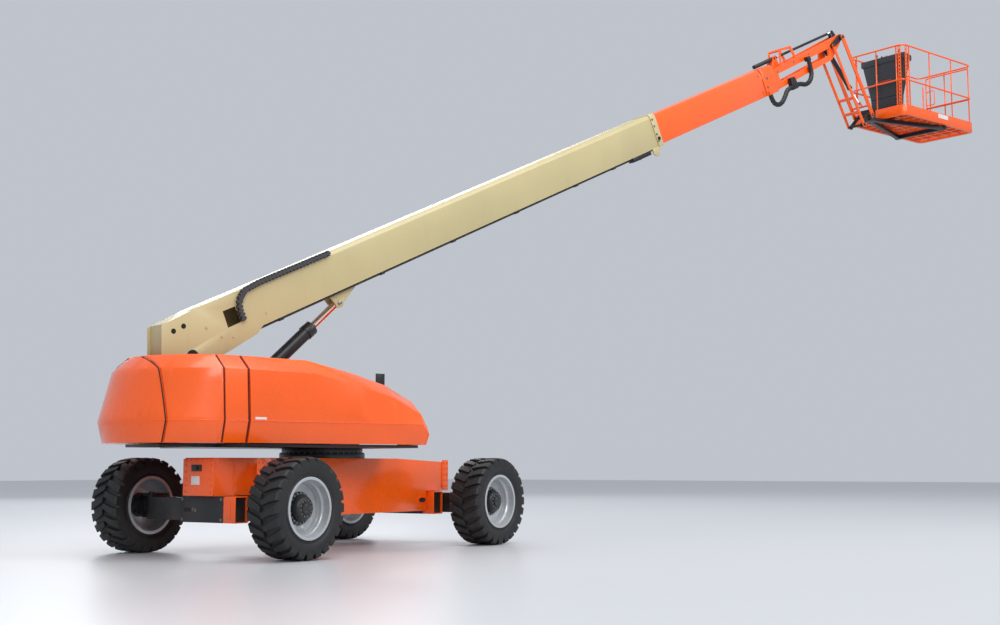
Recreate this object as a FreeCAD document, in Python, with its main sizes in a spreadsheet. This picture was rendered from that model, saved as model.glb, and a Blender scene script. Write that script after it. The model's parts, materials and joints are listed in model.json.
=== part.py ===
import FreeCAD, Part
import math
import os
from FreeCAD import Placement, Rotation, Vector

# Telescopic boom lift with an articulating jib. Millimetres, +Z up.
# The origin is on the ground under the slew axis and +X runs along the chassis.

document = FreeCAD.newDocument("boom_lift")
sheet = document.addObject("Spreadsheet::Sheet", "sizes")

# name, value
DIMENSIONS = (
    ("wheelbase", 3048), ("track", 2128), ("king_offset", 176),
    ("tyre_radius", 472), ("tyre_width", 376), ("tyre_bead", 312), ("lug_height", 30),
    ("lug_length", 152), ("lug_width", 54), ("lug_angle", 28), ("lug_count", 24),
    ("bore_radius", 272), ("bore_gap", 1), ("flange_radius", 288), ("flange_width", 10),
    ("rim_wall", 14), ("disc_face", 27), ("disc_wall", 19), ("hub_radius", 120),
    ("hub_reach", 93), ("hub_inner", 118), ("hub_neck", 80), ("neck_length", 40), ("hub_cap",
                                                                                   56), ("hub_flange", 152),
    ("beam_width", 136), ("beam_height", 216), ("beam_side", 84), ("beam_centre", 448),
    ("beam_tail", 176), ("slide_gap", 6), ("sleeve_wall", 10), ("housing_half", 290), ("sleeve_end", 448),
    ("yoke_half", 76), ("yoke_plate", 32), ("yoke_rise", 120), ("yoke_nose", 50), ("yoke_web", 56),
    ("king_radius", 28), ("pin_gap", 0.8), ("running_fit", 0.3), ("knuckle_gap", 6), ("knuckle_half", 50),
    ("deck_top", 936), ("hull_split", 578), ("hull_bottom", 360), ("hull_half", 368),
    ("hull_back_gap", 372), ("hull_front_gap", 196), ("end_overhang", 208), ("nose_half", 194),
    ("recess_gap", 52), ("deck_fall", 40), ("deck_level", 800), ("lower_wall", 11),
    ("ring_radius", 448), ("ring_bore", 344), ("ring_height", 50), ("ring_gap", 0.3),
    ("plate_bottom", 1040), ("plate_thick", 29),
    ("slew_angle", -16), ("hood_base", 1074), ("crease_low", 1280), ("crease_high", 1768),
    ("roof", 1908), ("hood_half", 976), ("base_inset", 56), ("shoulder_inset", 36),
    ("roof_inset", 216), ("hood_inner", 344), ("hood_back", -1396), ("hood_nose", 720),
    ("hood_wall", 21), ("hinge_inset", 24), ("hinge_drop", 18), ("hinge_radius", 14), ("shoulder_drop",
                                                                                       140),
    ("tail_reach", -2400), ("tail_join", -1412), ("slot_half", 240), ("slot_floor", 1520),
    ("slot_front", -2048), ("seam_front", -1666), ("seam_rear", -2120), ("seam_width", 8), ("seam_depth",
                                                                                            12),
    ("tower_half", 128), ("tower_wall", 36), ("tower_foot", 264), ("tower_crown", 92),
    ("pivot_x", -1608), ("pivot_z", 1928), ("boom_angle", 25.1), ("pivot_radius", 36),
    ("cap_radius", 46), ("cap_depth", 18),
    ("base_half", 160), ("base_low", -12), ("base_high", 420), ("base_end", 7392),
    ("base_wall", 8), ("corner", 48), ("step_gap", 8), ("base_mouth", 720),
    ("mid_tail", 2640), ("mid_end", 9760), ("fly_tail", 3200), ("head_end", 10080),
    ("head_gap", 40), ("collar", 96),
    ("lug_pin_s", 1872), ("lug_pin_n", -144), ("eye_radius", 48), ("eye_half", 48),
    ("ear_gap", 8), ("ear_wall", 18),
    ("ram_x", -1387), ("ram_z", 1200), ("ram_radius", 72), ("ram_length", 1662),
    ("ram_rod", 44), ("gland_radius", 82), ("gland_length", 104), ("ram_wall", 11),
    ("tip_s", 11912), ("tip_n", 366), ("nose_wall", 29), ("nose_plate_half", 104),
    ("link_angle", 57.3), ("link_length", 1304), ("couple_x", 200), ("couple_z", 176),
    ("tip_pin", 26), ("joint_gap", 6),
    ("link_wall", 16), ("link_depth", 72), ("rear_depth", 48),
    ("horn_radius", 120), ("horn_angle", 110), ("level_s", 10320), ("level_n", 452),
    ("level_radius", 29), ("level_back", 448), ("level_front", 88), ("level_rod", 16), ("trunnion", 18),
    ("jib_pin", 1080), ("jib_radius", 34), ("jib_length", 784), ("jib_rod", 19),
    ("fork_start", 28), ("fork_wall", 16), ("fork_length", 136), ("jib_eye",
                                                                                  30), ("jib_eye_half",
                                                                                        24), ("level_eye_half", 21),
    ("pad_half", 70), ("pad_length", 90),
    ("rotator_x", 160), ("rotator_radius", 76), ("rotator_low", 16), ("rotator_high", 128),
    ("swing_gap", 6), ("swing_plate", 56), ("platform_offset", 192), ("platform_length", 1920),
    ("platform_width", 1016), ("floor_thick", 32), ("kick_height", 160),
    ("kick_wall", 6), ("rail_height", 1108), ("rail_radius", 13), ("mid_rail", 560),
    ("post_radius", 10), ("gate_width", 496), ("gate_gap", 10), ("gate_post", 304), ("rail_corner", 96),
    ("console_width", 780), ("console_depth", 230), ("console_high", 1010), ("console_side", -80),
    ("console_back", 48), ("grid_pitch", 160), ("grid_bar", 24), ("grid_depth", 26),
    ("hose_radius", 32), ("carrier_s", 10330), ("carrier_rise", 560), ("carrier_root",
                                                                       330), ("carrier_wall", 12),
    ("chain_half", 45), ("chain_depth", 60), ("chain_wall", 6), ("chain_pitch", 44),
)
for row, (alias, amount) in enumerate(DIMENSIONS, start=1):
    cell = "A%d" % row
    sheet.set(cell, str(amount))
    sheet.setAlias(cell, alias)
document.recompute()


class Values:
    """Reads a driving dimension from the sheet as a plain number."""

    def __getattr__(self, alias):
        return float(getattr(sheet, alias))


v = Values()
ALIASES = sorted((alias for alias, amount in DIMENSIONS), key=len, reverse=True)
nodes = []
counter = {"made": 0}


def bound(expression):
    """Turns a sum of driving dimensions into an expression on the sheet."""
    words = str(expression).replace("(", " ( ").replace(")", " ) ").split()
    return " ".join("sizes." + word if word in ALIASES else word for word in words)


def fresh(stem):
    counter["made"] += 1
    return "%s_%d" % (stem, counter["made"])


def bind(item, links):
    for target, expression in links:
        item.setExpression(target, bound(expression))


def block(x, y, z):
    """A box between three pairs of expressions."""
    item = document.addObject("Part::Box", fresh("block"))
    bind(item, (("Length", "( %s ) - ( %s )" % (x[1], x[0])),
                ("Width", "( %s ) - ( %s )" % (y[1], y[0])),
                ("Height", "( %s ) - ( %s )" % (z[1], z[0])),
                ("Placement.Base.x", x[0]), ("Placement.Base.y", y[0]), ("Placement.Base.z", z[0])))
    return item


TURNS = {"X": Rotation(Vector(0, 1, 0), 90), "Y": Rotation(Vector(1, 0, 0), -90), "Z": Rotation()}


def drum(axis, radius, centre, start, end):
    """A cylinder along an axis; centre gives the two other coordinates in X, Y, Z order."""
    item = document.addObject("Part::Cylinder", fresh("drum"))
    item.Placement = Placement(Vector(), TURNS[axis])
    order = {"X": ("y", "z"), "Y": ("x", "z"), "Z": ("x", "y")}[axis]
    bind(item, (("Radius", radius), ("Height", "( %s ) - ( %s )" % (end, start)),
                ("Placement.Base." + axis.lower(), start),
                ("Placement.Base." + order[0], centre[0]), ("Placement.Base." + order[1], centre[1])))
    return item


def plane_of(body, role):
    return [item for item in body.Origin.OriginFeatures if item.Role == role][0]


def edges_of(outline):
    """Line segments, or arcs where an item of the outline is a pair: a middle point and an end."""
    edges = []
    start = outline[0]
    for stop in outline[1:] + outline[:1]:
        if isinstance(stop[0], tuple):
            middle, stop = stop
            edges.append(Part.Arc(Vector(*start, 0), Vector(*middle, 0), Vector(*stop, 0)))
        elif stop != start:
            edges.append(Part.LineSegment(Vector(*start, 0), Vector(*stop, 0)))
        start = stop
    return edges


def padded(role, outline, depth, start="0", holes=()):
    """A padded sketch on XY, XZ or YZ that starts at a distance along the plane's axis."""
    body = document.addObject("PartDesign::Body", fresh("body"))
    sketch = body.newObject("Sketcher::SketchObject", fresh("sketch"))
    sketch.AttachmentSupport = [(plane_of(body, role + "_Plane"), "")]
    sketch.MapMode = "FlatFace"
    for loop in (outline,) + tuple(holes):
        for edge in edges_of(loop):
            sketch.addGeometry(edge, False)
    pad = body.newObject("PartDesign::Pad", fresh("pad"))
    pad.Profile = sketch
    pad.Reversed = role == "XZ"
    pad.setExpression("Length", bound(depth))
    axis = {"XY": "z", "XZ": "y", "YZ": "x"}[role]
    body.setExpression("Placement.Base." + axis, bound(start))
    return body


def turned(outline):
    """A full revolution about Y of an outline given as radius and Y."""
    body = document.addObject("PartDesign::Body", fresh("body"))
    sketch = body.newObject("Sketcher::SketchObject", fresh("sketch"))
    sketch.AttachmentSupport = [(plane_of(body, "XY_Plane"), "")]
    sketch.MapMode = "FlatFace"
    for edge in edges_of(outline):
        sketch.addGeometry(edge, False)
    spin = body.newObject("PartDesign::Revolution", fresh("spin"))
    spin.Profile = sketch
    spin.ReferenceAxis = (sketch, ["V_Axis"])
    spin.Angle = 360
    return body


def fixed(shape):
    item = document.addObject("Part::Feature", fresh("shape"))
    item.Shape = shape
    return item


def pipe(points, radius, corner):
    """A round bar along straight runs joined by tangent arcs."""
    edges = []
    start = points[0]
    for before, here, after in zip(points, points[1:], points[2:]):
        to_before = (before - here).normalize()
        to_after = (after - here).normalize()
        half = to_before.getAngle(to_after) / 2
        setback = corner / math.tan(half)
        first = here + to_before * setback
        last = here + to_after * setback
        bisector = (to_before + to_after).normalize()
        middle = here + bisector * (corner / math.sin(half) - corner)
        edges.append(Part.LineSegment(start, first).toShape())
        edges.append(Part.Arc(first, middle, last).toShape())
        start = last
    edges.append(Part.LineSegment(start, points[-1]).toShape())
    heading = points[1] - points[0]
    section = Part.Wire([Part.makeCircle(radius, points[0], heading)])
    return Part.Wire(edges).makePipeShell([section], True, False)


def joined(pieces):
    if len(pieces) == 1:
        return pieces[0]
    item = document.addObject("Part::MultiFuse", fresh("union"))
    item.Shapes = list(pieces)
    item.Refine = True
    return item


def less(base, tools):
    item = document.addObject("Part::Cut", fresh("cut"))
    item.Base = base
    item.Tool = joined(tools)
    item.Refine = True
    return item


def node(label, item, place=None):
    document.recompute()
    holder = document.addObject("Part::Feature", label)
    holder.Label = label
    holder.Shape = item.Shape
    if place is not None:
        holder.Placement = place.multiply(item.Placement)
    nodes.append(holder)
    return holder


# Frames of the parts that are slewed, raised and hung
turntable = Placement(Vector(), Rotation(Vector(0, 0, 1), v.slew_angle))
boom = turntable.multiply(Placement(Vector(v.pivot_x, 0, v.pivot_z),
                                    Rotation(Vector(0, 1, 0), -v.boom_angle)))
tip = boom.multVec(Vector(v.tip_s, 0, v.tip_n))
level = Placement(tip, turntable.Rotation)
link = Placement(tip, turntable.Rotation.multiply(Rotation(Vector(0, 1, 0), v.link_angle)))
couple = Vector(-v.couple_x, 0, -v.couple_z)
rear_link = Placement(level.multVec(couple), link.Rotation)
foot = link.multVec(Vector(v.link_length, 0, 0))
bracket = Placement(foot, turntable.Rotation)
platform = Placement(bracket.multVec(Vector(v.rotator_x, 0, 0)), turntable.Rotation)


# Wheels: a polygonal carcass with two staggered rows of slanted lugs, a dished rim and a planetary hub
def ring_wire(radius, y):
    count = int(v.lug_count)
    points = []
    for i in range(count):
        angle = 2 * math.pi * (i + 0.5) / count
        points.append(Vector(radius * math.sin(angle), y, -radius * math.cos(angle)))
    return Part.makePolygon(points + points[:1])


def tyre_shape():
    half = v.tyre_width / 2
    tread = v.tyre_radius - v.lug_height
    # radius, share of the half width
    profile = ((v.tyre_bead, 0.83), (0.8 * v.tyre_radius, 1.0), (tread - 6, 0.95))
    wires = [ring_wire(radius, -share * half) for radius, share in profile]
    wires += [ring_wire(radius, share * half) for radius, share in reversed(profile)]
    carcass = Part.makeLoft(wires, True, True)
    bore_radius = (v.bore_radius + v.bore_gap) / math.cos(math.pi / v.lug_count)
    bore = Part.Face(ring_wire(bore_radius, -half)).extrude(Vector(0, v.tyre_width, 0))
    lugs = []
    depth = v.lug_height + 19
    for side in (-1, 1):
        block_shape = Part.makeBox(v.lug_width, v.lug_length, depth,
                                   Vector(-v.lug_width / 2, -v.lug_length / 2, v.tyre_radius - depth - 4))
        block_shape.rotate(Vector(), Vector(0, 0, 1), side * v.lug_angle)
        block_shape.translate(Vector(0, side * half / 2, 0))
        for i in range(int(v.lug_count)):
            lug = block_shape.copy()
            lug.rotate(Vector(), Vector(0, 1, 0), 180 + (i + 0.5 * (side > 0)) * 360 / v.lug_count)
            lugs.append(lug)
    solid = carcass.cut(bore).multiFuse(lugs)
    return solid.removeSplitter()


def rim_body():
    half = v.tyre_width / 2 - 16
    inner = v.bore_radius - v.rim_wall
    return turned([
        (v.flange_radius, half), (v.flange_radius, half - v.flange_width), (v.bore_radius, half - 13),
        (v.bore_radius, 13 - half), (v.flange_radius, v.flange_width - half), (v.flange_radius, -half),
        (inner, -half), (inner, v.disc_face - v.disc_wall), (v.hub_radius, v.disc_face - v.disc_wall),
        (v.hub_radius, v.disc_face), (inner - 21, v.disc_face), (inner - 18, half * 0.5),
        (inner - 4, half * 0.6), (inner + 4, half)])


def hub_body():
    reach = v.disc_face + v.hub_reach
    return turned([
        (0, -v.hub_inner), (v.hub_neck, -v.hub_inner), (v.hub_neck, v.neck_length - v.hub_inner),
        (v.hub_radius - 2, v.neck_length - v.hub_inner), (v.hub_radius - 2, v.disc_face),
        (v.hub_flange, v.disc_face), (v.hub_flange, v.disc_face + 14), (v.hub_radius, v.disc_face + 14),
        (v.hub_radius - 11, reach - 16), (v.hub_radius - 27, reach), (v.hub_cap, reach),
        (v.hub_cap, reach + 13), (0, reach + 13)])


tyre_solid = tyre_shape()
axle_height = -tyre_solid.BoundBox.ZMin
rim_shape_body = rim_body()
hub_shape_body = hub_body()
document.recompute()

# name, axle position share, side
CORNERS = (("end_a_near", -0.5, -1), ("end_a_far", -0.5, 1), ("end_b_near", 0.5, -1), ("end_b_far", 0.5, 1))


def corner_place(share, side, across, height):
    turn = Rotation(Vector(0, 0, 1), 0 if side > 0 else 180)
    return Placement(Vector(share * v.wheelbase, side * across, height), turn)


for corner_name, share, side in CORNERS:
    place = corner_place(share, side, v.track / 2, axle_height)
    node("tyre_" + corner_name, fixed(tyre_solid), place)
    node("rim_" + corner_name, rim_shape_body, place)
    node("hub_" + corner_name, hub_shape_body, place)


# Extending axle beams, each with a yoke at its wheel, and the knuckles
def beam_shape():
    """Local frame: origin at the middle of the axle on the ground, wheel towards +Y."""
    king = v.track / 2 - v.king_offset
    low = v.beam_centre - v.beam_height / 2
    bar = Part.makeBox(v.beam_width, king - 2 * v.yoke_web + v.beam_tail, v.beam_height,
                       Vector(-v.beam_side - v.beam_width / 2, -v.beam_tail, low))
    bottom = axle_height - v.yoke_rise
    left = -v.beam_side - v.beam_width / 2
    web = Part.makeBox(v.yoke_half - left, v.yoke_web, 2 * v.yoke_rise,
                       Vector(left, king - 3 * v.yoke_web, bottom))
    jaw = Part.makeBox(2 * v.yoke_half, 2 * v.yoke_web + v.yoke_nose, 2 * v.yoke_rise,
                       Vector(-v.yoke_half, king - 2 * v.yoke_web, bottom))
    mouth_low = bottom + v.yoke_plate
    mouth = Part.makeBox(2 * v.yoke_half, 2 * v.yoke_web + v.yoke_nose, 2 * (v.yoke_rise - v.yoke_plate),
                         Vector(-v.yoke_half, king - 1.5 * v.yoke_web, mouth_low))
    hole = Part.makeCylinder(v.king_radius + v.pin_gap, 2 * v.yoke_rise, Vector(0, king, bottom))
    solid = bar.multiFuse([web, jaw]).cut(mouth).cut(hole)
    return solid.removeSplitter()


def knuckle_shape():
    """Local frame: the kingpin's axis on the ground, wheel towards +Y."""
    half = v.yoke_rise - v.yoke_plate - v.knuckle_gap
    core = Part.makeBox(2 * v.knuckle_half, 2 * v.knuckle_half, 2 * half,
                        Vector(-v.knuckle_half, -v.knuckle_half, axle_height - half))
    pin = Part.makeCylinder(v.king_radius, 2 * v.yoke_rise + 24,
                            Vector(0, 0, axle_height - v.yoke_rise - 12))
    reach = v.king_offset - v.hub_inner
    spindle = Part.makeCylinder(v.hub_neck - 4, reach, Vector(0, 0, axle_height), Vector(0, 1, 0))
    return core.multiFuse([pin, spindle]).removeSplitter()


beam_solid = beam_shape()
knuckle_solid = knuckle_shape()
for corner_name, share, side in CORNERS:
    node("beam_" + corner_name, fixed(beam_solid), corner_place(share, side, 0, 0))
    node("knuckle_" + corner_name, fixed(knuckle_solid),
         corner_place(share, side, v.track / 2 - v.king_offset, 0))


# Chassis: upper and lower hulls, hollowed at the slew ring, with the axle housings
def chassis_item():
    reach = v.wheelbase / 2 + v.end_overhang
    hull_back = v.wheelbase / 2 - v.hull_back_gap
    recess_start = v.wheelbase / 2 - v.recess_gap
    bulge = recess_start - 0.475 * (recess_start - hull_back)
    recess = ((-bulge, -v.nose_half - 40), (-hull_back, -v.hull_half))
    mirror = ((-bulge, v.nose_half + 40), (-recess_start, v.nose_half))
    upper_plan = [(-reach, v.nose_half), (-reach, -v.nose_half), (-recess_start, -v.nose_half),
                  recess, (reach, -v.hull_half), (reach, v.hull_half),
                  (-hull_back, v.hull_half), mirror]
    plan = padded("XY", upper_plan, "deck_top - hull_split", "hull_split")
    profile = [(-reach - 8, v.hull_split - 8), (reach + 8, v.hull_split - 8),
               (reach + 8, v.deck_top - v.deck_fall), (v.deck_level, v.deck_top),
               (-reach - 8, v.deck_top)]
    side = padded("XZ", profile, "3 * hull_half", "0 - 1.5 * hull_half")
    upper = document.addObject("Part::Common", fresh("common"))
    upper.Base = plan
    upper.Tool = side
    back = "( hull_back_gap - wheelbase / 2 )"
    front = "( wheelbase / 2 - hull_front_gap )"
    lower = block((back, front), ("0 - hull_half", "hull_half"), ("hull_bottom", "hull_split"))
    well = block((back + " + lower_wall", front + " - lower_wall"),
                 ("lower_wall - hull_half", "hull_half - lower_wall"), ("hull_bottom", "hull_split"))
    end = "0 - wheelbase / 2 - end_overhang"
    flange = block((end + " - 13", end), ("0 - nose_half - 11", "nose_half + 11"),
                   ("hull_split", "deck_top - 10"))
    wide = "( beam_side + beam_width / 2 + slide_gap + sleeve_wall )"
    housing_top = "beam_centre + beam_height / 2 + slide_gap + sleeve_wall"
    saddles = [block(("%s * wheelbase - %s" % (share, wide), "%s * wheelbase + %s" % (share, wide)),
                     ("0 - nose_half", "nose_half"), (housing_top, "hull_split"))
               for share in (-0.5, 0.5)]
    return joined([upper, less(lower, [well]), flange] + saddles)


def housing_item(share):
    """Black box that guides the two beams, with an orange sleeve on each side as a node of its own."""
    low = "( beam_centre - beam_height / 2 - slide_gap - sleeve_wall )"
    high = "( beam_centre + beam_height / 2 + slide_gap + sleeve_wall )"
    centre = "%s * wheelbase" % share
    wide = "( beam_side + beam_width / 2 + slide_gap + sleeve_wall )"
    box = block((centre + " - " + wide, centre + " + " + wide), ("0 - housing_half", "housing_half"),
                (low, high))
    bores = []
    for side in ("0 - ", ""):
        middle = "%s + ( %s beam_side )" % (centre, side)
        half = "( beam_width / 2 + slide_gap )"
        bores.append(block((middle + " - " + half, middle + " + " + half),
                           ("0 - housing_half", "housing_half"),
                           (low + " + sleeve_wall", high + " - sleeve_wall")))
    pads = []
    for sign in (-1, 1):
        middle = "%s * wheelbase + ( %d * beam_side )" % (share, sign)
        ends = ("housing_half - pad_length", "housing_half") if sign > 0 else ("0 - housing_half",
                                                                               "pad_length - housing_half")
        for z in (("beam_centre - beam_height / 2 - slide_gap",
                   "beam_centre - beam_height / 2 - running_fit"),
                  ("beam_centre + beam_height / 2 + running_fit",
                   "beam_centre + beam_height / 2 + slide_gap")):
            pads.append(block((middle + " - beam_width / 2", middle + " + beam_width / 2"), ends, z))
    return joined([less(box, bores)] + pads)


def sleeve_item(share):
    low = "( beam_centre - beam_height / 2 - slide_gap - sleeve_wall )"
    high = "( beam_centre + beam_height / 2 + slide_gap + sleeve_wall )"
    pieces = []
    bores = []
    for sign in (-1, 1):
        middle = "%s * wheelbase + ( %d * beam_side )" % (share, sign)
        outer = "( beam_width / 2 + slide_gap + sleeve_wall - 2 )"
        inner = "( beam_width / 2 + slide_gap )"
        ends = ("housing_half", "sleeve_end") if sign > 0 else ("0 - sleeve_end", "0 - housing_half")
        pieces.append(block((middle + " - " + outer, middle + " + " + outer), ends, (low, high)))
        bores.append(block((middle + " - " + inner, middle + " + " + inner), ends,
                           (low + " + sleeve_wall", high + " - sleeve_wall")))
        window = ("( housing_half + 40 )", "( housing_half + 88 )")
        if sign < 0:
            window = ("0 - housing_half - 88", "0 - housing_half - 40")
        bores.append(block((middle + " - 2 * " + outer, middle + " + 2 * " + outer), window,
                           ("beam_centre - 68", "beam_centre + 68")))
    return less(joined(pieces), bores)


node("chassis_frame", chassis_item())
for end_name, share in (("a", -0.5), ("b", 0.5)):
    node("axle_housing_end_" + end_name, housing_item(share))
    node("axle_sleeves_end_" + end_name, sleeve_item(share))
ring = less(drum("Z", "ring_radius", ("0", "0"), "deck_top", "deck_top + ring_height"),
            [drum("Z", "ring_bore", ("0", "0"), "deck_top", "deck_top + ring_height")])
node("slew_ring_lower", ring)
ring = less(drum("Z", "ring_radius - 24", ("0", "0"), "deck_top + ring_height + ring_gap", "plate_bottom"),
            [drum("Z", "ring_bore - 48", ("0", "0"), "deck_top + ring_height + ring_gap", "plate_bottom")])
node("slew_ring_upper", ring, turntable)


# Turntable: base plate, tower for the boom's pivot and foot of the lift cylinder
def turntable_item():
    base = block(("hood_back - 32", "hood_nose - 104"), ("0 - hood_half + 104", "hood_half - 104"),
                 ("plate_bottom", "plate_bottom + plate_thick"))
    top = v.plate_bottom + v.plate_thick
    crown = v.pivot_z
    radius = v.tower_crown
    outline = [(v.pivot_x - v.tower_foot, top), (v.pivot_x + 96, top), (v.pivot_x + radius, crown),
               ((v.pivot_x, crown + radius), (v.pivot_x - radius, crown)), (v.pivot_x - v.tower_foot,
                                                                            top + 240)]
    pieces = [base]
    for start in ("0 - tower_half", "tower_half - tower_wall"):
        pieces.append(padded("XZ", outline, "tower_wall", start))
    back = block(("pivot_x - tower_foot", "pivot_x - tower_foot + 24"), ("0 - tower_half", "tower_half"),
                 ("plate_bottom + plate_thick", "plate_bottom + plate_thick + 256"))
    pieces.append(back)
    ear = [(v.ram_x - 104, top), (v.ram_x + 104, top), (v.ram_x + 48, v.ram_z),
           ((v.ram_x, v.ram_z + 48), (v.ram_x - 48, v.ram_z))]
    for start in ("0 - ram_radius - joint_gap - ear_wall", "ram_radius + joint_gap"):
        pieces.append(padded("XZ", ear, "ear_wall", start))
    pieces.append(block(("pivot_x - tower_foot - 160", "hood_back"),
                        ("0 - hood_inner - 32", "hood_inner + 32"),
                        ("plate_bottom", "plate_bottom + plate_thick")))
    holes = [drum("Y", "pivot_radius + pin_gap", ("pivot_x", "pivot_z"), "0 - hood_inner", "hood_inner"),
             drum("Y", "king_radius + pin_gap", ("ram_x", "ram_z"), "0 - hood_inner", "hood_inner")]
    return less(joined(pieces), holes)


node("turntable_frame", turntable_item(), turntable)
pins = [drum("Y", "king_radius", ("ram_x", "ram_z"), "0 - ram_radius - joint_gap - ear_wall - 11",
             "ram_radius + joint_gap + ear_wall + 11")]
node("ram_foot_pin", joined(pins), turntable)


# Hood: a ruled loft through a few sections, x, roof height and half width at the crease
HOOD_STATIONS = ((0.0, 0, 0), (0.34, -12, 0), (0.585, -112, 4), (0.79, -224, 10), (0.955, -384, 24),
                 (1.0, -512, 48))


def hood_section(x, roof, narrow, inset, side):
    """Closed section wire of the hood at x; inset moves every wall inwards."""
    drop = v.shoulder_drop
    points = (
        (v.hood_half - v.base_inset - narrow - inset, v.hood_base),
        (v.hood_half - narrow - inset, v.crease_low if roof - drop > v.crease_low + 48 else v.hood_base + 104),
        (v.hood_half - v.shoulder_inset - narrow - inset, roof - drop - inset * 0.6),
        (v.hood_half - v.roof_inset - narrow - inset * 0.6, roof - inset),
        (v.hood_inner + inset, roof - inset),
        (v.hood_inner + inset, v.hood_base))
    wire = [Vector(x, side * y, z) for y, z in points]
    return Part.makePolygon(wire + wire[:1])


def hood_shape(side):
    length = v.hood_nose - v.hood_back
    depth = v.hood_wall * 1.5
    outer = []
    inner = []
    for share, drop, narrow in HOOD_STATIONS:
        x = v.hood_back + share * length
        outer.append(hood_section(x, v.roof + drop, narrow, 0, side))
        x_in = min(max(x, v.hood_back + v.hood_wall), v.hood_nose - v.hood_wall)
        inner.append(hood_section(x_in, v.roof + drop, narrow, v.hood_wall, side))
    shell = Part.makeLoft(outer, True, True).cut(Part.makeLoft(inner, True, True))
    inner_wall = Part.makeBox(length * 2, depth + 8, v.roof * 2,
                              Vector(v.hood_back - length / 2,
                                     side * v.hood_inner - (8 if side > 0 else depth), 0))
    hinge = Part.makeCylinder(v.hinge_radius, HOOD_STATIONS[1][0] * length,
                              Vector(v.hood_back, side * (v.hood_inner + v.hinge_inset),
                                     v.roof - v.hinge_drop),
                              Vector(1, 0, 0))
    return shell.cut(inner_wall).fuse(hinge.common(Part.makeLoft(outer, True, True)))


for side_name, side in (("near", -1), ("far", 1)):
    node("hood_" + side_name, fixed(hood_shape(side)), turntable)


# Tail: a rounded counterweight in stacked D sections with a slot for the boom's tail
def tail_wire(inset, back, z):
    reach = v.tail_reach + back
    half = v.hood_half - inset
    centre = v.tail_join - 264
    edges = [Part.LineSegment(Vector(v.tail_join, half, z), Vector(centre, half, z)).toShape(),
             Part.Arc(Vector(centre, half, z), Vector(reach, 0, z), Vector(centre, -half, z)).toShape(),
             Part.LineSegment(Vector(centre, -half, z), Vector(v.tail_join, -half, z)).toShape(),
             Part.LineSegment(Vector(v.tail_join, -half, z), Vector(v.tail_join, half, z)).toShape()]
    return Part.Wire(edges)


def tail_shape():
    # side inset, rear inset, height
    levels = ((v.base_inset, 48, v.hood_base), (0, 0, v.crease_low), (v.shoulder_inset, 136, v.crease_high),
              (v.roof_inset, 272, v.roof))
    solid = Part.makeLoft([tail_wire(*row) for row in levels], True, True)
    core = Part.makeLoft([tail_wire(inset + v.seam_depth, back + v.seam_depth, z) for inset, back,
                          z in levels],
                         True, True)
    for x in (v.seam_front, v.seam_rear):
        slab = Part.makeBox(v.seam_width, 4 * v.hood_half, 2 * v.roof, Vector(x, -2 * v.hood_half, 0))
        solid = solid.cut(slab.cut(core))
    slot = Part.makeBox(-v.slot_front, 2 * v.slot_half, v.roof,
                        Vector(v.slot_front, -v.slot_half, v.slot_floor))
    room = v.pivot_x - v.tower_foot - 48
    front = Part.makeBox(-room, 2 * v.hood_inner, 2 * v.roof, Vector(room, -v.hood_inner, 0))
    return solid.cut(slot).cut(front)


node("tail_counterweight", fixed(tail_shape()), turntable)
engine = block(("hood_back + 200", "hood_back + 1160"), ("hood_inner + 72", "hood_half - 160"),
               ("plate_bottom + plate_thick", "plate_bottom + plate_thick + 576"))
node("engine_block", engine, turntable)
tank = block(("hood_back + 240", "hood_back + 1000"), ("0 - hood_half + 160", "0 - hood_inner - 72"),
             ("plate_bottom + plate_thick", "plate_bottom + plate_thick + 448"))
node("hydraulic_tank", tank, turntable)


# Boom sections: chamfered box tubes in the boom's own frame
def tube_outline(half, low, high, corner):
    return [(-half, low), (half, low), (half, high - corner), (half - corner * 0.6, high),
            (corner * 0.6 - half, high), (-half, high - corner)]


def tube(half, low, high, corner, start, end, wall):
    outer = padded("YZ", tube_outline(half, low, high, corner), "( %s ) - ( %s )" % (end, start), start)
    inner = padded("YZ", tube_outline(half - wall, low + wall, high - wall, corner),
                   "( %s ) - ( %s )" % (end, start), start)
    return less(outer, [inner])


def mouth_pads(half, low, high, end):
    """Wear pads inside a section's mouth, over and under the next section."""
    across = (str(-half), str(half))
    along = ("%s - pad_length" % end, end)
    return [block(along, across, (str(low), "%s + step_gap - running_fit" % low)),
            block(along, across, ("%s - step_gap + running_fit" % high, str(high)))]


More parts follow.
